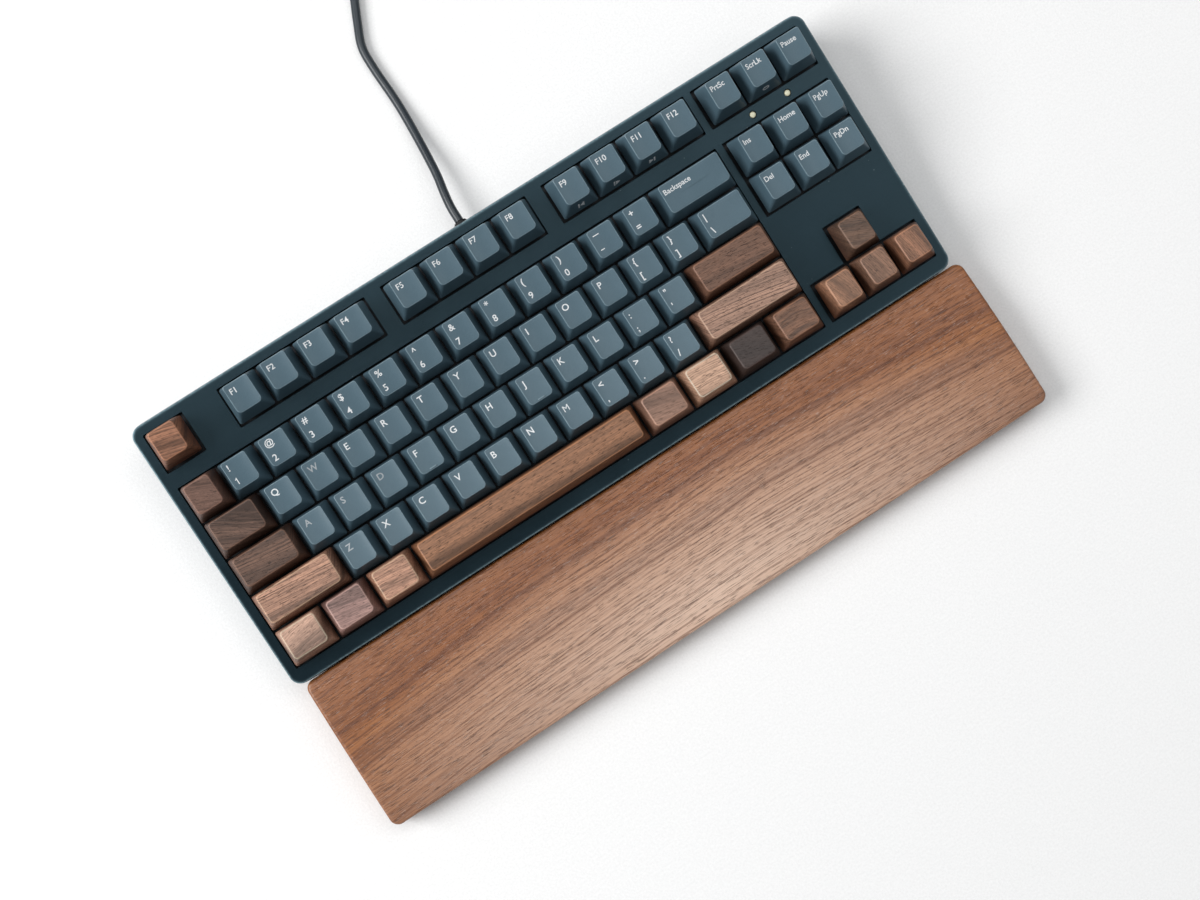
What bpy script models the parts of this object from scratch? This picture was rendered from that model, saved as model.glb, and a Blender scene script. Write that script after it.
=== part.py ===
"""Tenkeyless mechanical keyboard with walnut accent keys, a USB lead and a matching palm rest.

Metres, +Z up. The table is z = 0, +X is to the typist's right and +Y is away from the typist.
The origin is the middle of the footprint of keyboard and palm rest together, on the table.

The keyboard is built in its own frame, the empty "keyboard_frame": its origin is the front left
corner of the main key block on the top face of the case, and it leans by TYPING_ANGLE about X.
"""

import math

import bmesh
import bpy
from mathutils import Matrix, Vector

# ---- Driving dimensions: keys and case ----
UNIT = 0.01905                  # pitch of the keys
BLOCK_UNITS = 15                # width of the main key block, in units
KEYS_UNITS = 18.25              # width of all keys, in units
BLOCK_ROWS = 5
FUNCTION_GAP = 0.0088           # between the number row and the function row
TYPING_ANGLE = math.radians(5.8)

SIDE_MARGIN = 0.0053            # from the keys' pitch lines to the edge of the case
FRONT_MARGIN = 0.0079
BACK_MARGIN = 0.0054
CASE_CORNER = 0.0055            # radius of the case's corners in plan
CASE_FLARE = 0.0010             # the top cover is this much wider at its lower edge
CASE_DRAFT = 0.0040             # the bottom cover narrows by this much over DRAFT_DEPTH
DRAFT_DEPTH = 0.0400
COVER_FRONT_HEIGHT = 0.0203     # top face's front edge above the table
WALL = 0.0022                   # walls and floor of the covers
COVER_FACE = 0.0025             # thickness of the top cover's face
PARTING = -0.0100               # where the covers meet, below the top face
UNDERSIDE = 0.0025              # bottom cover's underside above the table
OPENING_MARGIN = 0.0005         # the cover's openings are this much larger than the keys' pitch area
GAP = 0.0003                    # clearance between pieces that touch
CUT_DEEP = 0.0200               # length of the blocks that cut through a wall
COVER_EDGE = 0.0008             # rounding along the rim of the top face

# ---- Inner stack, as heights in the keyboard's frame ----
PLATE_TOP = -0.0038
PLATE_THICK = 0.0015
BOARD_TOP = PLATE_TOP - 0.0050
BOARD_THICK = 0.0016
SWITCH_SIDE = 0.0138            # switch housing where it passes through the plate
SWITCH_SHOULDER = 0.0016        # above the plate, where the housing starts to taper
SWITCH_TOP = 0.0028
SWITCH_TOP_SIZE = (0.0110, 0.0104)
SWITCH_MOUTH = (0.0070, 0.0054)  # opening that the key's stem slides in
SWITCH_MOUTH_FLOOR = -0.0028
WEB_THICK = 0.0009              # sheet that joins the switch housings into one bank
SHEET_CUT = 0.0060              # height of the blocks that cut through the plate and the web
LIGHT_HOLE = 0.0040             # square hole in both for a light
BOARD_INSET = 0.0014            # from the case's walls to the board
WEB_INSET = 0.0040

# ---- Keycaps ----
CAP_GAP = 0.00095               # between neighbouring skirts
CAP_NARROWER = 0.0058           # a cap's top is narrower than its skirt by this much
CAP_SHALLOWER = 0.0042
CAP_TOP_SHIFT = 0.0014          # the top sits this much towards the back
CAP_WALL = 0.0014
CAP_TOP_THICK = 0.0022
SKIRT = 0.0024                  # lower edge of the caps above the top face
STEM_SIZE = (0.0062, 0.0046)
STEM_END = 0.0018               # lower end of the stems, at rest
BAR_SIZE = (0.0030, 0.0012)     # bars that join the caps of one node: depth and height
BAR_LAP = 0.0006                # how far a bar reaches into each skirt
BAR_Y = -0.0030

# ---- Palm rest ----
REST_SIZE = (0.3600, 0.0765, 0.0167)
REST_SHIFT = 0.0036             # the rest lies this much further right than the keyboard
REST_GAP = 0.0004
REST_CORNER = 0.0042
REST_EDGE = 0.0016
REST_PAD = (0.1100, 0.0120, 0.0012)
REST_PAD_REACH = 0.1000         # from the middle of the rest to the middle of a strip
REST_PAD_CORNER = 0.0050

# ---- Feet ----
PAD_SIZE = (0.0220, 0.0090)
PAD_CORNER = 0.0040
PAD_INSET = (0.0200, 0.0120)    # from the case's sides and from its front and back edges
FOOT_SIZE = (0.0240, 0.0260, 0.0044)
FOOT_PIN = 0.0012               # radius of the foot's hinge pins
FOOT_PIN_REACH = 0.0016
FOOT_INSET = 0.0480             # from the case's side to the middle of a foot
FOOT_BACK = 0.0180              # from the case's back to the foot's hinge
FOOT_BOSS = (0.0340, 0.0340, 0.0080)  # block that holds a foot's pocket
POST_RADIUS = 0.0030
POST_INSET = 0.0400             # from the keys' sides to the outer posts
POST_ROWS = (0.0200, 0.0880)
LEAD_HOLE = 0.0039              # radius of the hole for the strain relief
POCKET_DEEPER = 0.0020          # the pockets are this much higher than a foot
PIN_HOLE_DEEPER = 0.0006
POCKET_GAP = 0.0006

# ---- USB lead ----
LEAD_DIAMETER = 0.0042
LEAD_EXIT_X = -0.0042
LEAD_EXIT_HEIGHT = 0.0100
COIL_RADIUS = 0.0223            # to the middle of the turns
COIL_TURNS_ACROSS = 5
COIL_LAYERS = 2
COIL_LIFT = 0.0010              # the coil rests on its tie
COIL_CENTRE = (0.0049, 0.2851)
COIL_IN = math.radians(-25.5)   # where the lead joins the coil's outermost turn
COIL_OUT = math.radians(60.0)   # where it leaves it towards the plug
COIL_STUB = 0.0170              # the lead leaves the coil in a straight line of this length
TAIL_LENGTH = 0.0260
TAIL_EASE = 0.0004
PLUG_GRIP = (0.0160, 0.0250, 0.0080)
PLUG_GRIP_EDGE = 0.0018
PLUG_SHELL = (0.0120, 0.0120, 0.0045)
PLUG_SHEET = 0.0003             # thickness of the shell's side walls
PLUG_SLOT = 0.0019              # height of the shell's opening
PLUG_SLOT_DROP = 0.0010         # from the middle of the shell down to the middle of the slot
PLUG_BACK = 0.0030              # thickness of the shell behind the slot
TIE_WIDTH = 0.0045
TIE_THICK = 0.0006
TIE_ANGLE = math.radians(150.0)

# Route of the lead from the strain relief to the coil, chosen by hand.
LEAD_ROUTE = (
    (-0.0042, 0.1113, 0.0100),
    (-0.0040, 0.1190, 0.0098),
    (-0.0028, 0.1270, 0.0090),
    (-0.0008, 0.1379, 0.0074),
    (0.0012, 0.1588, 0.0042),
    (0.0021, 0.1765, 0.0025),
    (0.0017, 0.1958, 0.0022),
    (0.0025, 0.2075, 0.0022),
    (0.0070, 0.2185, 0.0022),
    (0.0118, 0.2287, 0.0023),
    (0.0180, 0.2415, 0.0026),
    (0.0245, 0.2552, 0.0031),
)

# ---- Key rows: how far back each row starts, its cap height and the tilt of its tops ----
ROWS = {
    "function": (BLOCK_ROWS * UNIT + FUNCTION_GAP, 0.0119, 3.0),
    "number": (4 * UNIT, 0.0119, 3.0),
    "upper": (3 * UNIT, 0.0092, -1.0),
    "home": (2 * UNIT, 0.0092, -5.0),
    "lower": (1 * UNIT, 0.0101, -8.0),
    "bottom": (0 * UNIT, 0.0100, -9.0),
}

# Node name, row, left edge in units, widths in units of the keys that share the node, finish.
# The grey alphanumeric keys share nodes in short runs, which thin bars between the skirts join.
KEY_RUNS = (
    ("escape_key", "function", 0, (1,), "walnut"),
    ("function_keys_1_to_4", "function", 2, (1,) * 4, "grey"),
    ("function_keys_5_to_8", "function", 6.5, (1,) * 4, "grey"),
    ("function_keys_9_to_12", "function", 11, (1,) * 4, "grey"),
    ("system_keys", "function", 15.25, (1,) * 3, "grey"),
    ("backtick_key", "number", 0, (1,), "walnut"),
    ("number_keys_1_to_4", "number", 1, (1,) * 4, "grey"),
    ("number_keys_5_to_8", "number", 5, (1,) * 4, "grey"),
    ("number_keys_9_to_equals", "number", 9, (1,) * 4, "grey"),
    ("backspace_key", "number", 13, (2,), "grey"),
    ("navigation_keys_upper", "number", 15.25, (1,) * 3, "grey"),
    ("tab_key", "upper", 0, (1.5,), "walnut"),
    ("letter_keys_q_to_r", "upper", 1.5, (1,) * 4, "grey"),
    ("letter_keys_t_to_i", "upper", 5.5, (1,) * 4, "grey"),
    ("letter_keys_o_to_brackets", "upper", 9.5, (1,) * 4, "grey"),
    ("backslash_key", "upper", 13.5, (1.5,), "grey"),
    ("navigation_keys_lower", "upper", 15.25, (1,) * 3, "grey"),
    ("caps_lock_key", "home", 0, (1.75,), "walnut"),
    ("letter_keys_a_to_h", "home", 1.75, (1,) * 6, "grey"),
    ("letter_keys_j_to_quote", "home", 7.75, (1,) * 5, "grey"),
    ("enter_key", "home", 12.75, (2.25,), "walnut"),
    ("left_shift_key", "lower", 0, (2.25,), "walnut"),
    ("letter_keys_z_to_b", "lower", 2.25, (1,) * 5, "grey"),
    ("letter_keys_n_to_slash", "lower", 7.25, (1,) * 5, "grey"),
    ("right_shift_key", "lower", 12.25, (2.75,), "walnut"),
    ("arrow_up_key", "lower", 16.25, (1,), "walnut"),
    ("left_control_key", "bottom", 0, (1.25,), "walnut"),
    ("left_system_key", "bottom", 1.25, (1.25,), "walnut"),
    ("left_alt_key", "bottom", 2.5, (1.25,), "walnut"),
    ("space_bar", "bottom", 3.75, (6.25,), "walnut"),
    ("right_alt_key", "bottom", 10, (1.25,), "walnut"),
    ("right_system_key", "bottom", 11.25, (1.25,), "walnut"),
    ("menu_key", "bottom", 12.5, (1.25,), "walnut"),
    ("right_control_key", "bottom", 13.75, (1.25,), "walnut"),
    ("arrow_left_key", "bottom", 15.25, (1,), "walnut"),
    ("arrow_down_key", "bottom", 16.25, (1,), "walnut"),
    ("arrow_right_key", "bottom", 17.25, (1,), "walnut"),
)

# Openings of the top cover: row of the front edge, left edge in units, width, number of rows.
COVER_OPENINGS = (
    ("function", 0, 1, 1),
    ("function", 2, 4, 1),
    ("function", 6.5, 4, 1),
    ("function", 11, 4, 1),
    ("function", 15.25, 3, 1),
    ("bottom", 0, BLOCK_UNITS, BLOCK_ROWS),
    ("upper", 15.25, 3, 2),
    ("bottom", 15.25, 3, 1),
    ("bottom", 16.25, 1, 2),
)

LIGHTS = (("caps_lock_light", 16.25), ("scroll_lock_light", 17.25))
LIGHT_RADIUS = 0.0014
LIGHT_TOP = 0.0003              # above the cover's face

# ---- Sizes worked out from those above ----
KEYS_BACK = BLOCK_ROWS * UNIT + FUNCTION_GAP + UNIT
CASE_WIDTH = KEYS_UNITS * UNIT + 2 * SIDE_MARGIN
CASE_DEPTH = FRONT_MARGIN + KEYS_BACK + BACK_MARGIN
CASE_CENTRE = (KEYS_UNITS * UNIT / 2, (KEYS_BACK + BACK_MARGIN - FRONT_MARGIN) / 2)
LIGHTS_Y = BLOCK_ROWS * UNIT + FUNCTION_GAP / 2
SLOPE_COS = math.cos(TYPING_ANGLE)
SLOPE_SIN = math.sin(TYPING_ANGLE)

# Where the keyboard's frame stands, so that both pieces together are centred on the origin.
HALF_CASE = CASE_WIDTH / 2 + CASE_FLARE
CASE_X = (HALF_CASE - REST_SHIFT - REST_SIZE[0] / 2) / 2
CASE_FRONT = -FRONT_MARGIN * SLOPE_COS
CASE_BACK = (KEYS_BACK + BACK_MARGIN + CASE_FLARE) * SLOPE_COS - PARTING * SLOPE_SIN
REST_FRONT = CASE_FRONT - REST_GAP - REST_SIZE[1]
FRAME_AT = Vector((
    CASE_X - CASE_CENTRE[0],
    -(REST_FRONT + CASE_BACK) / 2,
    COVER_FRONT_HEIGHT + FRONT_MARGIN * SLOPE_SIN,
))


# ---- Scene helpers ----

def clear_scene():
    for obj in list(bpy.data.objects):
        bpy.data.objects.remove(obj, do_unlink=True)


def new_collection(name, helpers=False):
    made = bpy.data.collections.new(name)
    bpy.context.scene.collection.children.link(made)
    made.hide_render = helpers
    return made


def new_material(name, colour, roughness, metallic=0.0):
    made = bpy.data.materials.new(name)
    made.use_nodes = True
    made.diffuse_color = (*colour, 1.0)
    shader = made.node_tree.nodes["Principled BSDF"]
    shader.inputs["Base Color"].default_value = (*colour, 1.0)
    shader.inputs["Roughness"].default_value = roughness
    shader.inputs["Metallic"].default_value = metallic
    return made


def new_object(name, bm, material=None, parent=None, at=(0, 0, 0)):
    """A piece of the keyboard or, without a material, a cutter. It takes the bmesh and frees it."""
    mesh = bpy.data.meshes.new(name)
    bmesh.ops.recalc_face_normals(bm, faces=bm.faces)
    bm.to_mesh(mesh)
    bm.free()
    obj = bpy.data.objects.new(name, mesh)
    obj.location = at
    obj.parent = parent
    if material:
        mesh.materials.append(material)
        PIECES.objects.link(obj)
    else:
        obj.hide_render = True
        obj.display_type = "WIRE"
        CUTTERS.objects.link(obj)
    return obj


def boolean(obj, other, operation):
    modifier = obj.modifiers.new(f"{operation.lower()}_{other.name}", "BOOLEAN")
    modifier.operation = operation
    modifier.object = other
    modifier.solver = "EXACT"


def add_block(bm, size, centre, turn=None):
    """A box of this size, turned by the matrix turn about its centre."""
    place = Matrix.Translation(centre)
    if turn:
        place = place @ turn
    return bmesh.ops.create_cube(bm, size=1.0, matrix=place @ Matrix.Diagonal((*size, 1.0)))["verts"]


def block(size, centre, turn=None):
    bm = bmesh.new()
    add_block(bm, size, centre, turn)
    return bm


def rounded_block(width, depth, low, high, corner, centre=(0, 0), grow=0.0, segments=5):
    """A block with rounded upright edges, whose lower end is wider by grow on each side."""
    bm = block((width, depth, high - low), (*centre, (low + high) / 2))
    uprights = [e for e in bm.edges if abs(e.verts[0].co.z - e.verts[1].co.z) > (high - low) / 2]
    bmesh.ops.bevel(bm, geom=uprights, offset=corner, segments=segments, profile=0.5, affect="EDGES")
    for vert in bm.verts:
        if vert.co.z < (low + high) / 2:
            vert.co.x = centre[0] + (vert.co.x - centre[0]) * (1 + 2 * grow / width)
            vert.co.y = centre[1] + (vert.co.y - centre[1]) * (1 + 2 * grow / depth)
    return bm


def round_edges(bm, edges, radius, segments=3):
    bmesh.ops.bevel(bm, geom=edges, offset=radius, segments=segments, profile=0.5, affect="EDGES")


def cylinder(radius, length, centre, axis="Z", sides=12):
    turn = {"X": Matrix.Rotation(math.pi / 2, 4, "Y"), "Y": Matrix.Rotation(math.pi / 2, 4, "X")}
    bm = bmesh.new()
    bmesh.ops.create_cone(
        bm, cap_ends=True, segments=sides, radius1=radius, radius2=radius, depth=length,
        matrix=Matrix.Translation(centre) @ turn.get(axis, Matrix.Identity(4)),
    )
    return bm


def cut_level(bm, height):
    """Cuts a bmesh of the keyboard's frame along the level plane this far above the table."""
    up = Vector((0, SLOPE_SIN, SLOPE_COS))
    on_plane = up * (height - FRAME_AT.z)
    geometry = bm.verts[:] + bm.edges[:] + bm.faces[:]
    cut = bmesh.ops.bisect_plane(bm, geom=geometry, plane_co=on_plane, plane_no=up, clear_inner=True)
    rim = [item for item in cut["geom_cut"] if isinstance(item, bmesh.types.BMEdge)]
    bmesh.ops.contextual_create(bm, geom=rim)
    return bm


def level_height(y, height):
    """In the keyboard's frame, how high the level plane at this height is at y."""
    return (height - FRAME_AT.z - y * SLOPE_SIN) / SLOPE_COS


def shade_round(obj, angle=40):
    obj.data.shade_smooth()
    obj.data.set_sharp_from_angle(angle=math.radians(angle))


# ---- Covers ----

def build_top_cover():
    """The upper shell: a face with an opening for each block of keys, and walls to the parting."""
    low = PARTING + GAP / 2
    outer = rounded_block(CASE_WIDTH, CASE_DEPTH, low, 0, CASE_CORNER, CASE_CENTRE, CASE_FLARE)
    top_rim = [e for e in outer.edges if min(v.co.z for v in e.verts) > -GAP]
    round_edges(outer, top_rim, COVER_EDGE, 2)
    cover = new_object("top_cover", outer, CASE_BLACK, FRAME)
    inner = rounded_block(
        CASE_WIDTH - 2 * WALL, CASE_DEPTH - 2 * WALL, PARTING - WALL, -COVER_FACE,
        CASE_CORNER - WALL, CASE_CENTRE,
    )
    boolean(cover, new_object("cut_top_cover_inside", inner, parent=FRAME), "DIFFERENCE")
    for index, (row, left, width, rows) in enumerate(COVER_OPENINGS):
        size = (width * UNIT + 2 * OPENING_MARGIN, rows * UNIT + 2 * OPENING_MARGIN, CUT_DEEP)
        middle = ((left + width / 2) * UNIT, ROWS[row][0] + rows * UNIT / 2, 0)
        opening = new_object(f"cut_opening_{index}", block(size, middle), parent=FRAME)
        boolean(cover, opening, "DIFFERENCE")
    for name, units in LIGHTS:
        hole = cylinder(LIGHT_RADIUS + GAP, CUT_DEEP, (units * UNIT, LIGHTS_Y, 0), sides=10)
        boolean(cover, new_object(f"cut_{name}_hole", hole, parent=FRAME), "DIFFERENCE")


def tray_block(inset, height):
    """The bottom cover's outline, inset by this much and cut off level at this height."""
    bm = rounded_block(
        CASE_WIDTH + 2 * (CASE_FLARE - inset), CASE_DEPTH + 2 * (CASE_FLARE - inset),
        PARTING - DRAFT_DEPTH, PARTING - GAP / 2 + inset, CASE_CORNER + CASE_FLARE - inset,
        CASE_CENTRE, -CASE_DRAFT,
    )
    return cut_level(bm, height)


def foot_places():
    """The middle of each foot's hinge, in world coordinates, with the foot's name."""
    back = FRAME_AT.y + CASE_BACK - FOOT_BACK
    reach = CASE_WIDTH / 2 - FOOT_INSET
    for name, side in (("left", -1), ("right", 1)):
        yield f"flip_foot_{name}", Vector((CASE_X + side * reach, back, hinge_height()))


def hinge_height():
    return UNDERSIDE + GAP + FOOT_SIZE[2] / 2


def build_bottom_cover():
    """The lower tray with a level underside, pockets for the feet and posts under the board."""
    tray = new_object("bottom_cover", tray_block(0, UNDERSIDE), CASE_BLACK, FRAME)
    inside = new_object("cut_tray_inside", tray_block(WALL, UNDERSIDE + WALL), parent=FRAME)
    boolean(tray, inside, "DIFFERENCE")
    for index, (x, y) in enumerate(post_places()):
        top = BOARD_TOP - BOARD_THICK - GAP
        foot = level_height(y, UNDERSIDE + WALL / 2)
        post = cylinder(POST_RADIUS, top - foot, (x, y, (top + foot) / 2), sides=8)
        boolean(tray, new_object(f"add_post_{index}", post, parent=FRAME), "UNION")
    for name, hinge in foot_places():
        middle_y = hinge.y + (FOOT_SIZE[2] - FOOT_SIZE[1]) / 2
        boss_at = (hinge.x, middle_y, UNDERSIDE + WALL / 2 + FOOT_BOSS[2] / 2)
        boss = block(FOOT_BOSS, boss_at)
        boolean(tray, new_object(f"add_{name}_boss", boss), "UNION")
        room = block(
            (FOOT_SIZE[0] + 2 * POCKET_GAP, FOOT_SIZE[1] + 4 * POCKET_GAP, FOOT_SIZE[2] + POCKET_DEEPER),
            (hinge.x, middle_y, hinge.z + GAP - POCKET_DEEPER / 2),
        )
        boolean(tray, new_object(f"cut_{name}_pocket", room), "DIFFERENCE")
        reach = FOOT_SIZE[0] / 2 + FOOT_PIN_REACH + PIN_HOLE_DEEPER
        holes = cylinder(FOOT_PIN + GAP, 2 * reach, hinge, "X", 8)
        boolean(tray, new_object(f"cut_{name}_pin_holes", holes), "DIFFERENCE")
    exit_at = (LEAD_EXIT_X, FRAME_AT.y + CASE_BACK, LEAD_EXIT_HEIGHT)
    exit_hole = new_object("cut_lead_hole", cylinder(LEAD_HOLE, CUT_DEEP, exit_at, "Y", 12))
    boolean(tray, exit_hole, "DIFFERENCE")


def post_places():
    for x in (POST_INSET, CASE_CENTRE[0], KEYS_UNITS * UNIT - POST_INSET):
        for y in POST_ROWS:
            yield x, y


# ---- Inner stack ----

def key_places():
    """The middle of every key, in the keyboard's frame."""
    for _, row, left, widths, _ in KEY_RUNS:
        for width in widths:
            yield (left + width / 2) * UNIT, ROWS[row][0] + UNIT / 2
            left += width


def inner_sheet(thick, top, inset):
    width = CASE_WIDTH - 2 * WALL - 2 * inset
    depth = CASE_DEPTH - 2 * WALL - 2 * inset
    return rounded_block(width, depth, top - thick, top, 0.003, CASE_CENTRE, segments=3)


def build_switch_plate():
    plate = new_object("switch_plate", inner_sheet(PLATE_THICK, PLATE_TOP, 0.0008), PLATE_STEEL, FRAME)
    holes = bmesh.new()
    for x, y in key_places():
        side = SWITCH_SIDE + 2 * GAP
        add_block(holes, (side, side, SHEET_CUT), (x, y, PLATE_TOP - PLATE_THICK / 2))
    add_light_holes(holes, PLATE_TOP)
    boolean(plate, new_object("cut_plate_holes", holes, parent=FRAME), "DIFFERENCE")


def add_light_holes(bm, height):
    for _, units in LIGHTS:
        add_block(bm, (LIGHT_HOLE, LIGHT_HOLE, SHEET_CUT), (units * UNIT, LIGHTS_Y, height))


def build_circuit_board():
    board = inner_sheet(BOARD_THICK, BOARD_TOP, BOARD_INSET)
    new_object("circuit_board", board, BOARD_GREEN, FRAME)


def build_switch_bank():
    """All switch housings, joined under the plate by a thin web so that they are one body."""
    low = BOARD_TOP + GAP
    web = inner_sheet(WEB_THICK, low + WEB_THICK, WEB_INSET)
    bank = new_object("switch_bank", web, SWITCH_DARK, FRAME)
    holes = bmesh.new()
    add_light_holes(holes, low)
    boolean(bank, new_object("cut_web_holes", holes, parent=FRAME), "DIFFERENCE")
    housings = bmesh.new()
    for centre in key_places():
        add_switch(housings, centre, low + GAP)
    boolean(bank, new_object("add_switch_housings", housings, parent=FRAME), "UNION")


def add_switch(bm, centre, low):
    """A switch housing: square through the plate, tapered above it, with a mouth for the stem."""
    high = PLATE_TOP + SWITCH_SHOULDER
    top = top_face(add_block(bm, (SWITCH_SIDE, SWITCH_SIDE, high - low), (*centre, (high + low) / 2)))
    steps = (
        (SWITCH_TOP_SIZE, SWITCH_TOP),
        (SWITCH_MOUTH, SWITCH_TOP),
        (SWITCH_MOUTH, SWITCH_MOUTH_FLOOR),
    )
    for size, height in steps:
        top = extruded(bm, top)
        place_rectangle(top, centre, size, height)


def top_face(verts):
    faces = {face for vert in verts for face in vert.link_faces}
    return max(faces, key=lambda face: face.calc_center_median().z)


def bottom_face(verts):
    faces = {face for vert in verts for face in vert.link_faces}
    return min(faces, key=lambda face: face.calc_center_median().z)


def extruded(bm, face):
    """The face at the end of an extrusion of this one, which it takes the place of."""
    made = bmesh.ops.extrude_face_region(bm, geom=[face])["geom"]
    bmesh.ops.delete(bm, geom=[face], context="FACES_ONLY")
    return next(item for item in made if isinstance(item, bmesh.types.BMFace))


def place_rectangle(face, centre, size, height):
    """Puts a four-cornered face's corners at a level rectangle, each on its own side."""
    middle = face.calc_center_median()
    for vert in face.verts:
        vert.co.x = centre[0] + math.copysign(size[0] / 2, vert.co.x - middle.x)
        vert.co.y = centre[1] + math.copysign(size[1] / 2, vert.co.y - middle.y)
        vert.co.z = height


# ---- Keys ----

def add_cap(bm, x, width, height, tilt):
    """A hollow cap with its stem, standing on z = 0 at the middle of its skirt."""
    depth = UNIT - CAP_GAP
    verts = add_block(bm, (width, depth, height), (x, 0, height / 2))
    top = top_face(verts)
    skirt = bottom_face(verts)
    place_rectangle(top, (x, CAP_TOP_SHIFT), (width - CAP_NARROWER, depth - CAP_SHALLOWER), height)
    for vert in top.verts:
        vert.co.z += (vert.co.y - CAP_TOP_SHIFT) * math.tan(math.radians(tilt))
    ceiling = height - CAP_TOP_THICK
    inner_top = (width - CAP_NARROWER - CAP_WALL, depth - CAP_SHALLOWER - CAP_WALL)
    steps = (
        ((x, 0), (width - 2 * CAP_WALL, depth - 2 * CAP_WALL), 0),
        ((x, CAP_TOP_SHIFT), inner_top, ceiling),
        ((x, 0), STEM_SIZE, ceiling),
        ((x, 0), STEM_SIZE, STEM_END - SKIRT),
    )
    for centre, size, level in steps:
        skirt = extruded(bm, skirt)
        place_rectangle(skirt, centre, size, level)


def build_key_run(name, row, left, widths, finish):
    """The keys of one node, with the node's origin on the line that they slide along."""
    row_start, height, tilt = ROWS[row]
    span = sum(widths)
    material = WALNUT if finish == "walnut" else KEY_GREY
    at = ((left + span / 2) * UNIT, row_start + UNIT / 2, SKIRT)
    caps = bmesh.new()
    bars = bmesh.new()
    edge = -span / 2
    for width in widths:
        add_cap(caps, (edge + width / 2) * UNIT, width * UNIT - CAP_GAP, height, tilt)
        edge += width
        if edge < span / 2:
            size = (CAP_GAP + 2 * BAR_LAP, *BAR_SIZE)
            add_block(bars, size, (edge * UNIT, BAR_Y, BAR_SIZE[1]))
    run = new_object(name, caps, material, FRAME, at)
    if len(widths) > 1:
        boolean(run, new_object(f"add_{name}_bars", bars, parent=FRAME, at=at), "UNION")
    else:
        bars.free()


# ---- Small fixed pieces ----

def build_lights():
    for name, units in LIGHTS:
        length = LIGHT_TOP - (BOARD_TOP + GAP)
        centre = (units * UNIT, LIGHTS_Y, LIGHT_TOP - length / 2)
        shade_round(new_object(name, cylinder(LIGHT_RADIUS, length, centre, sides=10), LIGHT_CREAM, FRAME))


def build_rubber_pads():
    """Four pads under the corners of the bottom cover, level on the table."""
    high = UNDERSIDE - GAP
    front = FRAME_AT.y + CASE_FRONT + PAD_INSET[1]
    back = FRAME_AT.y + CASE_BACK - PAD_INSET[1]
    reach = CASE_WIDTH / 2 - PAD_INSET[0]
    for end, y in (("front", front), ("back", back)):
        for side, x in (("left", CASE_X - reach), ("right", CASE_X + reach)):
            pad = rounded_block(*PAD_SIZE, 0, high, PAD_CORNER, (x, y), segments=3)
            new_object(f"rubber_pad_{end}_{side}", pad, RUBBER)


def build_flip_feet():
    """Folded feet: a plate whose round end turns on two pins in the sides of its pocket."""
    for name, hinge in foot_places():
        radius = FOOT_SIZE[2] / 2
        length = FOOT_SIZE[1] - radius
        plate = block((FOOT_SIZE[0], length, FOOT_SIZE[2]), (0, -length / 2, 0))
        foot = new_object(name, plate, CASE_BLACK, at=hinge)
        knuckle = cylinder(radius, FOOT_SIZE[0], (0, 0, 0), "X", 16)
        boolean(foot, new_object(f"add_{name}_knuckle", knuckle, at=hinge), "UNION")
        pins = cylinder(FOOT_PIN, FOOT_SIZE[0] + 2 * FOOT_PIN_REACH, (0, 0, 0), "X", 8)
        boolean(foot, new_object(f"add_{name}_pins", pins, at=hinge), "UNION")


def build_palm_rest():
    middle = (CASE_X + REST_SHIFT, FRAME_AT.y + REST_FRONT + REST_SIZE[1] / 2)
    low = REST_PAD[2] + GAP
    rest = rounded_block(*REST_SIZE[:2], low, low + REST_SIZE[2], REST_CORNER, middle)
    rims = [e for e in rest.edges if abs(e.verts[0].co.z - e.verts[1].co.z) < GAP]
    round_edges(rest, rims, REST_EDGE, 3)
    shade_round(new_object("palm_rest", rest, WALNUT))
    for side, x in (("left", -REST_PAD_REACH), ("right", REST_PAD_REACH)):
        place = (middle[0] + x, middle[1])
        pad = rounded_block(*REST_PAD[:2], 0, REST_PAD[2], REST_PAD_CORNER, place, segments=3)
        new_object(f"palm_rest_pad_{side}", pad, RUBBER)


# ---- USB lead ----

def turned(name, profile, material, turn, at, steps):
    """A solid turned about its local Z from (radius, height) points, listed from the top down."""
    bm = bmesh.new()
    verts = [bm.verts.new((radius, 0, height)) for radius, height in profile]
    for first, second in zip(verts, verts[1:]):
        bm.edges.new((first, second))
    obj = new_object(name, bm, material, at=at)
    obj.rotation_euler = turn
    screw = obj.modifiers.new("turn", "SCREW")
    screw.steps = steps
    screw.render_steps = steps
    screw.use_merge_vertices = True
    screw.merge_threshold = 0.00001
    return obj


def build_strain_relief():
    """A rubber bush gripped by the back wall, with a short tapered nose that the lead leaves."""
    nose = LEAD_ROUTE[0][1] - GAP - (FRAME_AT.y + CASE_BACK)
    inside = -WALL - GAP
    profile = (
        (0.0, nose), (0.0027, nose), (0.0040, 0.0013), (0.0046, 0.0009), (0.0046, GAP),
        (0.0036, GAP), (0.0036, inside), (0.0049, inside), (0.0049, inside - 0.0018),
        (0.0030, inside - 0.0018), (0.0030, inside - 0.0075), (0.0, inside - 0.0075),
    )
    at = (LEAD_EXIT_X, FRAME_AT.y + CASE_BACK, LEAD_EXIT_HEIGHT)
    relief = turned("strain_relief", profile, RUBBER, (-math.pi / 2, 0, 0), at, 16)
    shade_round(relief)


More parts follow.
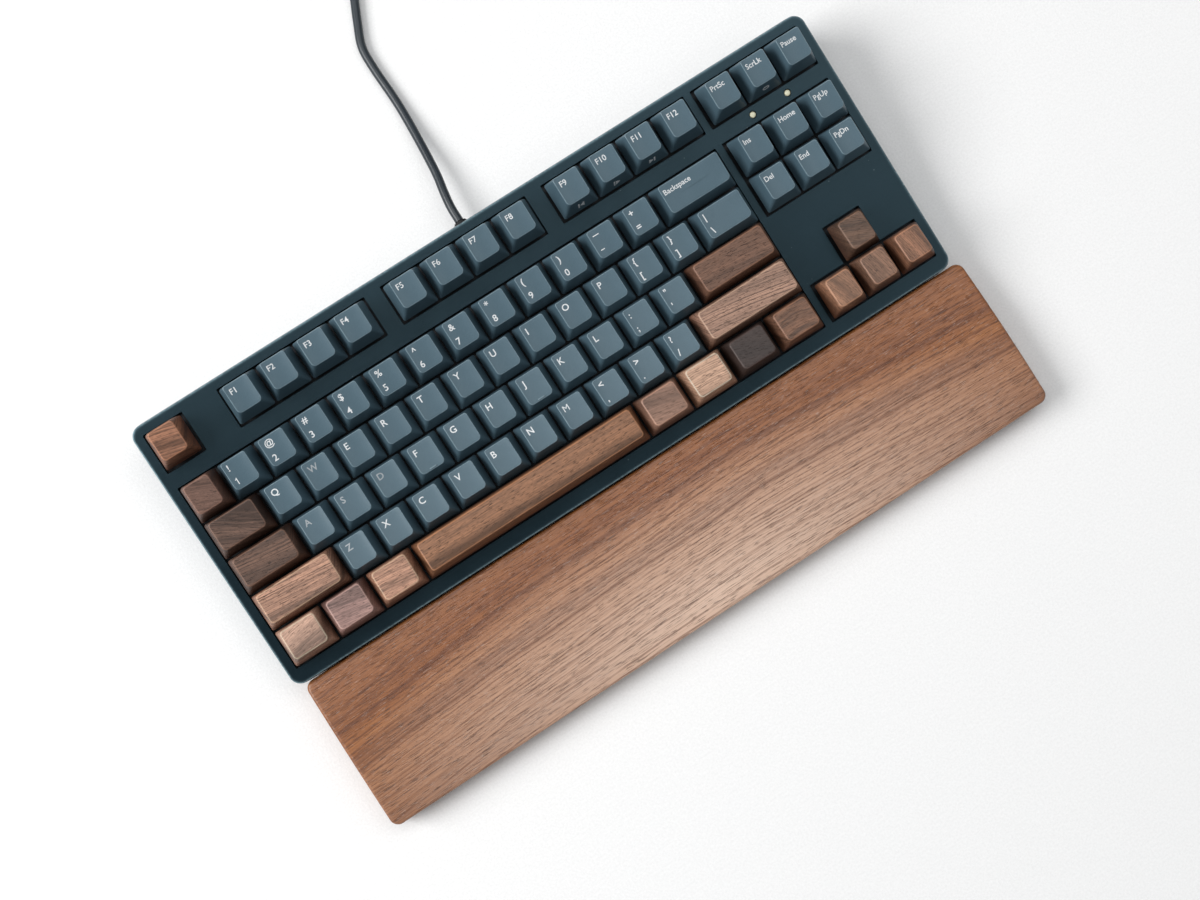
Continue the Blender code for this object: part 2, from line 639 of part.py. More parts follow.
def smooth_route(points, spacing):
    """Points this far apart along the smooth curve through the route's own points."""
    points = [Vector(point) for point in points]
    ends = [2 * points[0] - points[1]] + points + [2 * points[-1] - points[-2]]
    fine = []
    for before, start, end, after in zip(ends, ends[1:], ends[2:], ends[3:]):
        for step in range(16):
            t = step / 16
            blend = (2 * start + (end - before) * t
                     + (2 * before - 5 * start + 4 * end - after) * t ** 2
                     + (3 * start - before - 3 * end + after) * t ** 3)
            fine.append(blend / 2)
    fine.append(points[-1])
    length = sum((b - a).length for a, b in zip(fine, fine[1:]))
    count = max(2, round(length / spacing))
    route = [fine[0]]
    walked = 0.0
    for a, b in zip(fine, fine[1:]):
        walked += (b - a).length
        if walked >= length * len(route) / count - 1e-9 and len(route) < count:
            route.append(b)
    route.append(fine[-1])
    return route


def tube(name, points, diameter, material):
    curve = bpy.data.curves.new(name, "CURVE")
    curve.dimensions = "3D"
    curve.bevel_depth = diameter / 2
    curve.bevel_resolution = 2
    curve.use_fill_caps = True
    spline = curve.splines.new("POLY")
    spline.points.add(len(points) - 1)
    for spline_point, point in zip(spline.points, points):
        spline_point.co = (*point, 1.0)
    curve.materials.append(material)
    obj = bpy.data.objects.new(name, curve)
    PIECES.objects.link(obj)
    return obj


def coil_frame(angle, radius):
    """A point on the coil's circle and the way the lead runs there, anticlockwise."""
    outward = Vector((math.cos(angle), math.sin(angle), 0))
    along = Vector((-math.sin(angle), math.cos(angle), 0))
    return Vector((*COIL_CENTRE, 0)) + radius * outward, along


def build_lead():
    """The lead's tube, its stored coil with a tie, a short tail and the plug."""
    outer_turn = COIL_RADIUS + (COIL_TURNS_ACROSS - 1) / 2 * LEAD_DIAMETER
    half_band = COIL_TURNS_ACROSS / 2 * LEAD_DIAMETER
    height = COIL_LAYERS * LEAD_DIAMETER
    low_turn = COIL_LIFT + LEAD_DIAMETER / 2
    high_turn = low_turn + (COIL_LAYERS - 1) * LEAD_DIAMETER
    tube("usb_lead", smooth_route(LEAD_ROUTE, 2.5 * LEAD_DIAMETER), LEAD_DIAMETER, LEAD_BLACK)

    bevel = LEAD_DIAMETER / 3
    inner, outer = COIL_RADIUS - half_band, COIL_RADIUS + half_band
    profile = (
        (inner, height - bevel), (inner + bevel, height), (outer - bevel, height),
        (outer, height - bevel), (outer, bevel), (outer - bevel, 0), (inner + bevel, 0),
        (inner, bevel), (inner, height - bevel),
    )
    coil = turned("usb_lead_coil", profile, LEAD_BLACK, (0, 0, 0), (*COIL_CENTRE, COIL_LIFT), 40)
    joined = Vector(LEAD_ROUTE[-1])
    entry, _ = coil_frame(COIL_IN, outer_turn)
    entry.z = low_turn
    run_in = (entry - joined).normalized()
    start = joined + GAP * run_in
    leave, along = coil_frame(COIL_OUT, outer_turn)
    leave.z = high_turn
    stub_end = leave + COIL_STUB * along
    for name, a, b in (("in", start, entry), ("out", leave, stub_end)):
        stub = bmesh.new()
        turn = (b - a).to_track_quat("Z", "Y").to_matrix().to_4x4()
        bmesh.ops.create_cone(
            stub, cap_ends=True, segments=8, radius1=LEAD_DIAMETER / 2, radius2=LEAD_DIAMETER / 2,
            depth=(b - a).length, matrix=Matrix.Translation((a + b) / 2) @ turn,
        )
        boolean(coil, new_object(f"add_coil_{name}", stub), "UNION")
    shade_round(coil)

    plug_height = PLUG_GRIP[2] / 2
    tail_start = stub_end + GAP * along
    tail_end = leave + (COIL_STUB + TAIL_LENGTH) * along
    tail_end.z = plug_height
    tail = (tail_start, tail_start.lerp(tail_end, 0.25), tail_start.lerp(tail_end, 0.75), tail_end)
    tail[1].z = tail_start.z - TAIL_EASE
    tail[2].z = tail_end.z + TAIL_EASE
    tube("usb_lead_tail", smooth_route(tail, 2.5 * LEAD_DIAMETER), LEAD_DIAMETER, LEAD_BLACK)
    build_plug(tail_end, along)
    build_tie(half_band, height)


def build_plug(tail_end, along):
    """A moulded grip and a metal shell, in line with the lead's tail."""
    angle = math.atan2(along.y, along.x) - math.pi / 2
    grip = block(PLUG_GRIP, (0, PLUG_GRIP[1] / 2, 0))
    round_edges(grip, grip.edges[:], PLUG_GRIP_EDGE, 2)
    at = tail_end + GAP * along
    grip_object = new_object("usb_plug_grip", grip, RUBBER, at=at)
    grip_object.rotation_euler.z = angle
    shade_round(grip_object)
    shell_at = at + (PLUG_GRIP[1] + GAP) * along
    shell = new_object("usb_plug_shell", block(PLUG_SHELL, (0, PLUG_SHELL[1] / 2, 0)), STEEL, at=shell_at)
    shell.rotation_euler.z = angle
    slot_size = (PLUG_SHELL[0] - 2 * PLUG_SHEET, PLUG_SHELL[1], PLUG_SLOT)
    opening = block(slot_size, (0, PLUG_SHELL[1] / 2 + PLUG_BACK, -PLUG_SLOT_DROP))
    slot = new_object("cut_plug_slot", opening, at=shell_at)
    slot.rotation_euler.z = angle
    boolean(shell, slot, "DIFFERENCE")


def build_tie(half_band, height):
    """A flat band around the coil's bundle of turns."""
    middle, along = coil_frame(TIE_ANGLE, COIL_RADIUS)
    middle.z = COIL_LIFT + height / 2
    turn = Matrix.Rotation(TIE_ANGLE, 4, "Z")
    inside = (2 * (half_band + GAP), 2 * TIE_WIDTH, height + 2 * GAP)
    outside = (inside[0] + 2 * TIE_THICK, TIE_WIDTH, inside[2] + 2 * TIE_THICK)
    tie = new_object("cable_tie", block(outside, middle, turn), RUBBER)
    boolean(tie, new_object("cut_tie_inside", block(inside, middle, turn)), "DIFFERENCE")


clear_scene()
PIECES = new_collection("mechanical_keyboard")
CUTTERS = new_collection("cutters", helpers=True)
FRAME = bpy.data.objects.new("keyboard_frame", None)
FRAME.location = FRAME_AT
FRAME.rotation_euler.x = TYPING_ANGLE
PIECES.objects.link(FRAME)

CASE_BLACK = new_material("case_plastic", (0.022, 0.034, 0.040), 0.55)
KEY_GREY = new_material("keycap_plastic", (0.100, 0.150, 0.185), 0.60)
WALNUT = new_material("walnut", (0.270, 0.125, 0.060), 0.50)
PLATE_STEEL = new_material("plate_steel", (0.030, 0.032, 0.035), 0.45, 0.8)
BOARD_GREEN = new_material("circuit_board", (0.010, 0.050, 0.035), 0.50)
SWITCH_DARK = new_material("switch_plastic", (0.020, 0.020, 0.022), 0.50)
LIGHT_CREAM = new_material("light_lens", (0.800, 0.780, 0.550), 0.30)
RUBBER = new_material("rubber", (0.012, 0.013, 0.014), 0.80)
LEAD_BLACK = new_material("lead_sheath", (0.020, 0.030, 0.040), 0.45)
STEEL = new_material("plug_steel", (0.600, 0.600, 0.600), 0.25, 1.0)

build_top_cover()
build_bottom_cover()
build_switch_plate()
build_circuit_board()
build_switch_bank()
for run_facts in KEY_RUNS:
    build_key_run(*run_facts)
build_lights()
build_rubber_pads()
build_flip_feet()
build_palm_rest()
build_strain_relief()
build_lead()
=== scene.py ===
from collections import namedtuple
from math import atan2, copysign, cos, degrees, pi, radians, sin, tan

import bmesh
import bpy
from mathutils import Matrix, Vector


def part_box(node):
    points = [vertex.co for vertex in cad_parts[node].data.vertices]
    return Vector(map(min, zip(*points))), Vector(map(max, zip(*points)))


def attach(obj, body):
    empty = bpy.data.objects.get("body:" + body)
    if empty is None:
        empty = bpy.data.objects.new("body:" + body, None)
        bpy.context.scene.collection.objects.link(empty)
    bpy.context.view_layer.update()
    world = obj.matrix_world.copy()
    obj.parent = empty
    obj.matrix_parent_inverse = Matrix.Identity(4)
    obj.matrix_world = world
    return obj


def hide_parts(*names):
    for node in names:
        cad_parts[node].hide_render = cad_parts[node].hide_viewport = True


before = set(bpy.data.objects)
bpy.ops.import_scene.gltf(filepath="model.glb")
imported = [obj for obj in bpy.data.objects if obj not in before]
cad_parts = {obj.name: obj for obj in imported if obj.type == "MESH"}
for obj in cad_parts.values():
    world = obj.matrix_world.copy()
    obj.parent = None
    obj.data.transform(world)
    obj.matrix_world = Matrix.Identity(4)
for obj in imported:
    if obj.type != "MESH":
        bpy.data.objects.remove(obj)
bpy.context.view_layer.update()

SCENE = bpy.context.scene

# ---- Sizes of the CAD, in metres ----
UNIT = 0.01905
ROW_STEP = 0.01905
LEAN = radians(5.8)
GAP = 0.0003
BOARD_MIDDLE = Vector((0.17383125, 0.0603, -0.0096))   # in the keyboard's own frame
CASE_SIZE = (0.3582625, 0.1364)
CASE_MIDDLE = (0.17383125, 0.0603)
CASE_CORNER = 0.0055
CASE_FLARE = 0.0010
CASE_DRAFT = 0.0040
DRAFT_DEPTH = 0.0400
WALL = 0.0022
COVER_FACE = 0.0025
COVER_EDGE = 0.0008
PARTING = -0.0100
UNDERSIDE = 0.0025
OPENING_MARGIN = 0.0005
LIGHT_RADIUS = 0.0014
LIGHT_TOP = 0.0003

CAP_DEPTH = 0.0181
CAP_GAP = 0.00095
CAP_NARROWER = 0.0058
CAP_SHALLOWER = 0.0042
CAP_SHIFT = 0.0014
CAP_WALL = 0.0014
CAP_TOP_THICK = 0.0022
SKIRT = 0.0024
STEM_SIZE = (0.0062, 0.0046)
STEM_END = 0.0018

# Row: where it starts, height of its caps, tilt of their tops in degrees.
ROWS = {
    "function": (0.10405, 0.0119, 3.0),
    "number": (4 * UNIT, 0.0119, 3.0),
    "upper": (3 * UNIT, 0.0092, -1.0),
    "home": (2 * UNIT, 0.0092, -5.0),
    "lower": (1 * UNIT, 0.0101, -8.0),
    "bottom": (0.0, 0.0100, -9.0),
}

LEAD_DIAMETER = 0.0042
LEAD_ROUTE = (
    (-0.0042, 0.1113, 0.0100), (-0.0040, 0.1190, 0.0098), (-0.0028, 0.1270, 0.0090),
    (-0.0008, 0.1379, 0.0074), (0.0012, 0.1588, 0.0042), (0.0021, 0.1765, 0.0025),
    (0.0017, 0.1958, 0.0022), (0.0025, 0.2075, 0.0022), (0.0070, 0.2185, 0.0022),
    (0.0118, 0.2287, 0.0023), (0.0180, 0.2415, 0.0026), (0.0245, 0.2552, 0.0031),
)
COIL_CENTRE = Vector((0.0049, 0.2851, 0.0))
COIL_RADIUS = 0.0223
COIL_ACROSS = 5
COIL_LIFT = 0.0010
COIL_IN = -25.5
COIL_OUT = 60.0
COIL_STUB = 0.0170
COIL_STEP = 5.0
# Where in a turn the lead crosses to its next track, in degrees: start and length.
CROSS_IN = (270, 90)
CROSS_UP = (210, 60)
CROSS_OUT = (120, 90)
TAIL_LENGTH = 0.0260
TAIL_EASE = 0.0004
PLUG_GRIP = (0.0160, 0.0250, 0.0080)
PLUG_SHELL = (0.0120, 0.0120, 0.0045)
TIE_ANGLE = 150.0
TIE_WIDTH = 0.0045
TIE_THICK = 0.0006

board_low, board_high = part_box("circuit_board")
LEANING = Matrix.Rotation(LEAN, 4, "X")
KEYBOARD = Matrix.Translation((board_low + board_high) / 2 - LEANING @ BOARD_MIDDLE) @ LEANING


# ---- Making pieces ----

def shown(name, data):
    obj = bpy.data.objects.new(name, data)
    SCENE.collection.objects.link(obj)
    return obj


def mesh_from(bm, name):
    """A mesh of the bmesh, which is used up."""
    mesh = bpy.data.meshes.new(name)
    bm.to_mesh(mesh)
    bm.free()
    return mesh


def piece(name, bm, finishes, body, stands_for=(), at=None, sharp=35.0):
    """A shown object from a bmesh, shaded smooth except at edges sharper than this angle."""
    mesh = mesh_from(bm, name)
    for finish in finishes:
        mesh.materials.append(finish)
    mesh.polygons.foreach_set("use_smooth", [True] * len(mesh.polygons))
    mesh.set_sharp_from_angle(angle=radians(sharp))
    obj = shown(name, mesh)
    if at is not None:
        obj.matrix_world = at
    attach(obj, body)
    if stands_for:
        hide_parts(*stands_for)
    return obj


def outline(width, depth, front, back, across=4, along=4, corner=4):
    """Points of a rounded rectangle about the origin, anticlockwise from its front left corner."""
    half_w, half_d = width / 2, depth / 2
    front = max(0.00001, min(front, half_w, half_d))
    back = max(0.00001, min(back, half_w, half_d))
    corners = (
        (front - half_w, front - half_d, front, 180),
        (half_w - front, front - half_d, front, 270),
        (half_w - back, half_d - back, back, 0),
        (back - half_w, half_d - back, back, 90),
    )
    arcs = []
    for x, y, radius, start in corners:
        angles = [radians(start + 90 * step / corner) for step in range(corner + 1)]
        arcs.append([Vector((x + radius * cos(a), y + radius * sin(a))) for a in angles])
    points = []
    for index, arc in enumerate(arcs):
        points += arc
        count = across if index % 2 == 0 else along
        start_of_next = arcs[(index + 1) % 4][0]
        points += [arc[-1].lerp(start_of_next, step / count) for step in range(1, count)]
    return points


def loft(bm, rings, marks=None, tube=False):
    """Joins rings of 3-D points into a closed skin: with caps, or with the last ring joined to the first.

    marks are the rings' values of the edge layer, which the finishes read.
    """
    layer = bm.verts.layers.float.get("edge") or bm.verts.layers.float.new("edge")
    loops = []
    for index, ring in enumerate(rings):
        loop = [bm.verts.new(point) for point in ring]
        for vert in loop:
            vert[layer] = marks[index] if marks else 0.0
        loops.append(loop)
    count = len(loops[0])
    for below, above in zip(loops, loops[1:] + loops[:1] if tube else loops[1:]):
        for index in range(count):
            after = (index + 1) % count
            bm.faces.new((below[index], below[after], above[after], above[index]))
    if not tube:
        bm.faces.new(reversed(loops[0]))
        bm.faces.new(loops[-1])


def lofted(*skin, **settings):
    bm = bmesh.new()
    loft(bm, *skin, **settings)
    return bm


def at_height(points, height, centre=(0.0, 0.0)):
    return [Vector((p.x + centre[0], p.y + centre[1], height)) for p in points]


def block(bm, size, centre):
    place = Matrix.Translation(centre) @ Matrix.Diagonal((*size, 1.0))
    return bmesh.ops.create_cube(bm, size=1.0, matrix=place)["verts"]


def turned(bm, profile, place, steps=32):
    """A solid of revolution about the local Z of place, from (radius, height) listed upwards."""
    angles = [2 * pi * step / steps for step in range(steps)]
    loft(bm, [
        [place @ Vector((radius * cos(a), radius * sin(a), height)) for a in angles]
        for radius, height in profile
    ])


def cut(bm, cutter):
    """The first bmesh with the second one taken out of it. Both are used up."""
    meshes = [mesh_from(source, "cutting") for source in (bm, cutter)]
    objects = [shown("cutting", mesh) for mesh in meshes]
    modifier = objects[0].modifiers.new("cut", "BOOLEAN")
    modifier.operation = "DIFFERENCE"
    modifier.solver = "EXACT"
    modifier.object = objects[1]
    result = mesh_as_shown(objects[0])
    made = bmesh.new()
    made.from_mesh(result)
    for obj in objects:
        bpy.data.objects.remove(obj)
    for mesh in (*meshes, result):
        bpy.data.meshes.remove(mesh)
    return made


def mesh_as_shown(obj):
    graph = bpy.context.evaluated_depsgraph_get()
    return bpy.data.meshes.new_from_object(obj.evaluated_get(graph))


def soften(obj, width, segments, angle):
    """Rounds a finished piece's sharp edges a little, so that they catch the light."""
    bevel = obj.modifiers.new("soft_edges", "BEVEL")
    bevel.width = width
    bevel.segments = segments
    bevel.limit_method = "ANGLE"
    bevel.angle_limit = radians(angle)
    bevel.harden_normals = True


# ---- Camera, at the photograph's viewing angle ----
SENSOR_WIDTH = 36.0      # millimetres
FOCAL_LENGTH = 48.04     # millimetres
CAMERA_PLACE = (-0.060230, -0.036806, 0.749462)
RIGHT = Vector((0.83817529, -0.54368469, 0.04323364))
UPWARD = Vector((0.54070064, 0.83872158, 0.06472187))
AHEAD = Vector((0.07144928, 0.03087181, -0.99696636))

camera_data = bpy.data.cameras.new("camera")
camera_data.sensor_width = SENSOR_WIDTH
camera_data.lens = FOCAL_LENGTH
camera_data.clip_start = 0.01
camera_data.clip_end = 20.0
camera = shown("camera", camera_data)
facing = Matrix((RIGHT, UPWARD, -AHEAD)).transposed().to_4x4()
camera.matrix_world = Matrix.Translation(CAMERA_PLACE) @ facing
SCENE.camera = camera


# ---- Finishes ----

class Finish:
    """A material whose nodes are made with short calls."""

    def __init__(self, name, **sockets):
        self.material = bpy.data.materials.new(name)
        self.material.use_nodes = True
        self.tree = self.material.node_tree
        self.shader = self.tree.nodes["Principled BSDF"]
        self.place = self.node("ShaderNodeTexCoord").outputs["Object"]
        self.set(**sockets)

    def set(self, **sockets):
        for name, value in sockets.items():
            self.feed(self.shader.inputs[name.replace("_", " ")], value)

    def feed(self, socket, value):
        if isinstance(value, bpy.types.NodeSocket):
            self.tree.links.new(value, socket)
        else:
            socket.default_value = value

    def node(self, kind, sockets=None, **settings):
        made = self.tree.nodes.new(kind)
        for name, value in settings.items():
            setattr(made, name, value)
        for name, value in (sockets or {}).items():
            self.feed(made.inputs[name], value)
        return made

    def mapped(self, scale=(1, 1, 1), turn=(0, 0, 0), shift=(0, 0, 0), place=None):
        sockets = {
            "Vector": place or self.place, "Scale": scale, "Location": shift,
            "Rotation": [radians(angle) for angle in turn],
        }
        return self.node("ShaderNodeMapping", sockets).outputs[0]

    def noise(self, place, scale, detail=3.0, rough=0.55, distort=0.0):
        sockets = {"Vector": place, "Scale": scale, "Detail": detail, "Roughness": rough, "Distortion": distort}
        return self.node("ShaderNodeTexNoise", sockets).outputs["Fac"]

    def strands(self, place, along, across, detail=3.0, rough=0.55, shift=(0, 0, 0)):
        """Noise drawn out along X, with these many cells per metre along and across."""
        return self.noise(self.mapped((along, across, across), shift=shift, place=place), 1.0, detail, rough)

    def bands(self, along, scale, detail=2.0, rough=0.5):
        """Noise that changes only with one number."""
        sockets = {"W": along, "Scale": scale, "Detail": detail, "Roughness": rough}
        return self.node("ShaderNodeTexNoise", sockets, noise_dimensions="1D").outputs["Fac"]

    def specks(self, place, scale):
        return self.node("ShaderNodeTexVoronoi", {"Vector": place, "Scale": scale}).outputs["Distance"]

    def maths(self, operation, first, second=0.0):
        made = self.node("ShaderNodeMath", operation=operation)
        self.feed(made.inputs[0], first)
        self.feed(made.inputs[1], second)
        return made.outputs[0]

    def plus(self, first, second):
        return self.maths("ADD", first, second)

    def minus(self, first, second):
        return self.maths("SUBTRACT", first, second)

    def times(self, first, second):
        return self.maths("MULTIPLY", first, second)

    def levels(self, value, low, high, to_low=0.0, to_high=1.0):
        sockets = {"Value": value, "From Min": low, "From Max": high, "To Min": to_low, "To Max": to_high}
        return self.node("ShaderNodeMapRange", sockets).outputs[0]

    def ramp(self, value, stops):
        made = self.node("ShaderNodeValToRGB", {"Fac": value})
        elements = made.color_ramp.elements
        while len(elements) < len(stops):
            elements.new(0.5)
        for element, (position, colour) in zip(elements, stops):
            element.position = position
            element.color = (*colour, 1.0)
        return made.outputs[0]

    def mix(self, amount, first, second, blend="MIX"):
        made = self.node("ShaderNodeMix", data_type="RGBA", blend_type=blend)
        for index, value in ((0, amount), (6, first), (7, second)):
            if isinstance(value, tuple):
                value = (*value, 1.0)
            self.feed(made.inputs[index], value)
        return made.outputs[2]

    def edge(self):
        """The value that loft() marks rings with."""
        return self.node("ShaderNodeAttribute", attribute_name="edge").outputs["Fac"]

    def rim(self):
        """Where the edge layer is above zero, along edges lightened by wear and a painted highlight."""
        return self.maths("MAXIMUM", self.edge(), 0.0)

    def shade_sides(self, colour, side):
        """Painted shade: darker where the edge layer goes below zero, which is down a keycap's sides."""
        return self.mix(self.levels(self.edge(), -1.0, 0.0, 1.0, 0.0), colour, side, "MULTIPLY")

    def bump(self, *heights):
        """Each height is (value, distance in metres, strength)."""
        normal = None
        for height, distance, strength in heights:
            sockets = {"Height": height, "Distance": distance, "Strength": strength}
            if normal:
                sockets["Normal"] = normal
            normal = self.node("ShaderNodeBump", sockets).outputs[0]
        self.set(Normal=normal)


def tone(red, green, blue):
    """A colour given on the usual 0 to 255 scale."""
    return tuple((part / 255) ** 2.2 for part in (red, green, blue))


def scaled_tone(colour, factor):
    return tuple(min(0.9, part * factor) for part in colour)


DUST_COLOUR = (0.16, 0.20, 0.21)
CHALK_COLOUR = (0.55, 0.47, 0.42)
# Factor of the painted shade down the walnut caps' sides.
WOOD_SIDE_SHADE = (0.41, 0.30, 0.24)


def moulded(name, dark, light, rough=(0.45, 0.60), grain=2600.0, depth=0.00003, wear_and_highlight=None, blotch=60.0,
            tint=(1.0, 1.0, 1.0), shine=0.5, side=None, dust=0.0):
    """Moulded plastic or rubber: a fine grain, slow changes of colour, edges lighter from wear and a
    painted highlight, and, where asked, painted shade down the sides.

    grain and blotch are in cells per metre, depth is the grain's height in metres.
    """
    made = Finish(name, Specular_Tint=(*tint, 1.0), Specular_IOR_Level=shine)
    cloud = made.noise(made.place, blotch, 4.0)
    fine = made.noise(made.place, grain, 3.0, 0.6)
    both = made.plus(made.times(cloud, 0.6), made.times(fine, 0.4))
    colour = made.mix(made.levels(both, 0.35, 0.65), dark, light)
    # Painted shade, darker down a keycap's sides towards the skirt.
    if side:
        colour = made.shade_sides(colour, side)
    # Lighter edges: partly wear, partly a painted highlight on the rounded edges.
    if wear_and_highlight:
        patchy = made.levels(made.noise(made.place, 900.0, 2.0), 0.3, 0.7, 0.4, 1.0)
        colour = made.mix(made.times(made.rim(), patchy), colour, wear_and_highlight)
    if dust:
        dots = made.levels(made.specks(made.place, 330.0), 0.07, 0.10, dust, 0.0)
        here = made.levels(made.noise(made.place, 75.0, 2.0), 0.60, 0.63)
        colour = made.mix(made.times(dots, here), colour, DUST_COLOUR)
    made.set(Base_Color=colour, Roughness=made.levels(both, 0.3, 0.7, *rough))
    made.bump((fine, depth, 0.5))
    return made.material


def walnut(name, dark, middle, light, seed, rings, arch, wander, contrast, lines, line_depth, flecks,
           streaks, turn=0.0, chalk=0.0, mottle=0.0, painted_sheen=None, rough=(0.40, 0.56), shine=0.4,
           pores=(330, 3000, 0.60)):
    """Oiled walnut: rings that wander along the grain, fine dark lines, fibres and short pores.

    rings, lines and pores are in cells per metre. A streak is (place across the grain, half width,
    depth). The sheen patch is painted sheen, a paler patch that stands for a broad reflection: its
    middle, half sizes, colour and depth.
    """
    made = Finish(name, Specular_IOR_Level=shine)
    x, y, z = made.node("ShaderNodeSeparateXYZ", {"Vector": made.mapped(turn=(0, 0, turn))}).outputs
    place = made.mapped(turn=(0, 0, turn), shift=(0.37 * seed, 0.113 * seed, 0.071 * seed))
    slow = made.strands(place, 9, 34, 3.0, 0.5)
    ring = made.plus(y, made.times(made.minus(slow, 0.5), wander * 2))
    ring = made.plus(ring, made.times(z, 0.6))
    if arch:
        ring = made.plus(ring, made.times(made.times(x, x), arch))
    seeded = made.plus(ring, 0.137 * seed + 0.5)
    broad = made.bands(seeded, rings, 2.0, 0.45)
    line = made.levels(made.bands(seeded, lines, 2.0, 0.6), 0.40, 0.50, 1.0, 0.0)
    line = made.times(line, made.levels(made.strands(place, 40, 260), 0.38, 0.58, 0.40, 1.0))
    fibre = made.strands(place, 90, 1500, 4.0, 0.62)
    pore_along, pore_across, threshold = pores
    pore = made.strands(place, pore_along, pore_across, 2.0, 0.5)
    pore = made.levels(pore, threshold, threshold + 0.07)
    spread = 0.20 / contrast
    grain = made.plus(made.times(broad, 0.55), made.times(fibre, 0.45))
    grain = made.levels(grain, 0.5 - spread, 0.5 + spread)
    colour = made.ramp(grain, ((0.0, dark), (0.5, middle), (1.0, light)))
    # Painted sheen: a paler patch that stands for a broad reflection of light on the wood.
    if painted_sheen:
        (sheen_x, sheen_y), (reach_x, reach_y), sheen_colour, depth = painted_sheen
        off_x = made.maths("DIVIDE", made.minus(x, sheen_x), reach_x)
        off_y = made.maths("DIVIDE", made.minus(y, sheen_y), reach_y)
        away = made.maths("SQRT", made.plus(made.times(off_x, off_x), made.times(off_y, off_y)))
        colour = made.mix(made.levels(away, 0.0, 1.0, depth, 0.0), colour, sheen_colour)
    colour = made.mix(made.times(line, line_depth), colour, dark)
    for offset, width, depth in streaks:
        near = made.maths("ABSOLUTE", made.minus(ring, offset))
        colour = made.mix(made.levels(near, 0.0, width, depth, 0.0), colour, dark)
    colour = made.mix(made.times(pore, flecks), colour, tuple(0.35 * part for part in dark))
    if chalk:
        dust = made.levels(made.strands(place, 300, 2600, 1.0, shift=(3, 1, 2)), 0.66, 0.70)
        colour = made.mix(made.times(dust, chalk), colour, CHALK_COLOUR)
    if mottle:
        spots = made.levels(made.strands(place, 450, 1100, 3.0, 0.7, (1, 5, 3)), 0.36, 0.64)
        colour = made.mix(made.times(spots, mottle), colour, scaled_tone(dark, 1.15))
    # Painted shade down the sides.
    colour = made.shade_sides(colour, WOOD_SIDE_SHADE)
    # Painted highlight along the top's rounded rim.
    colour = made.mix(made.times(made.rim(), 0.50), colour, tuple(min(0.72, 1.45 * part) for part in light))
    made.set(Base_Color=colour, Roughness=made.levels(grain, 0.0, 1.0, *rough))
    made.bump((fibre, 0.00006, 0.30), (pore, -0.00010, 0.6))
    return made.material


def metal(name, metallic, dark, light, rough, lines, detail, depth, turn=0.0):
    """Drawn or rolled steel, with fine lines along X of the turned place."""
    made = Finish(name, Metallic=metallic)
    along, across = lines
    brushed = made.noise(made.mapped((along, across, across), (0, 0, turn)), 1.0, detail)
    made.set(Base_Color=made.mix(brushed, dark, light), Roughness=made.levels(brushed, 0.3, 0.7, *rough))
    made.bump((brushed, depth, 0.4))
    return made.material


# Case plastic: its lighter edges are wear and a painted highlight; the specks are dust.
CASE_BLACK = moulded("case_plastic", (0.0020, 0.0054, 0.0080), (0.0043, 0.0094, 0.0134), (0.27, 0.34),
                     1500.0, 0.00006, (0.230, 0.340, 0.380), tint=(0.50, 0.83, 1.0), shine=0.55, dust=0.5)
# The side value is painted shade down the caps' sides.
KEY_GREY = moulded("keycap_plastic", (0.058, 0.101, 0.130), (0.081, 0.134, 0.168), (0.33, 0.42),
                   2400.0, 0.00004, (0.26, 0.35, 0.39), 35.0, tint=(0.90, 0.98, 1.0), side=(0.88, 0.88, 0.88))
SWITCH_DARK = moulded("switch_plastic", (0.006, 0.006, 0.007), (0.011, 0.011, 0.012), (0.35, 0.50))
RUBBER = moulded("rubber", (0.010, 0.011, 0.012), (0.018, 0.019, 0.020), (0.70, 0.85), 1800.0, 0.00008)
SHEATH = moulded("lead_sheath", (0.010, 0.017, 0.024), (0.015, 0.024, 0.033), (0.30, 0.42), 1500.0, 0.00003)
INK = moulded("legend_ink", (0.62, 0.64, 0.65), (0.78, 0.80, 0.81), (0.45, 0.60), 3000.0, 0.00001)
FADED_INK = moulded("legend_ink_faded", (0.26, 0.29, 0.31), (0.42, 0.45, 0.47), (0.45, 0.60), 3000.0, 0.00001)
LENS = moulded("light_lens", (0.72, 0.70, 0.50), (0.85, 0.83, 0.62), (0.15, 0.25), 900.0, 0.00001)


# ---- The lead, wound for storage beyond the camera's view ----

def smooth_line(points, steps=8):
    """Points along the smooth curve through these ones."""
    points = [Vector(point) for point in points]
    ends = [2 * points[0] - points[1]] + points + [2 * points[-1] - points[-2]]
    line = []
    for before, start, end, after in zip(ends, ends[1:], ends[2:], ends[3:]):
        for step in range(steps):
            t = step / steps
            line.append((2 * start + (end - before) * t
                         + (2 * before - 5 * start + 4 * end - after) * t ** 2
                         + (3 * start - before - 3 * end + after) * t ** 3) / 2)
    return line + [points[-1]]


def crossed(degrees, crossing):
    """How much of a crossing is done at this place in the turn, eased at both ends."""
    start, length = crossing
    share = min(1.0, max(0.0, (degrees - start) / length))
    return share * share * (3 - 2 * share)


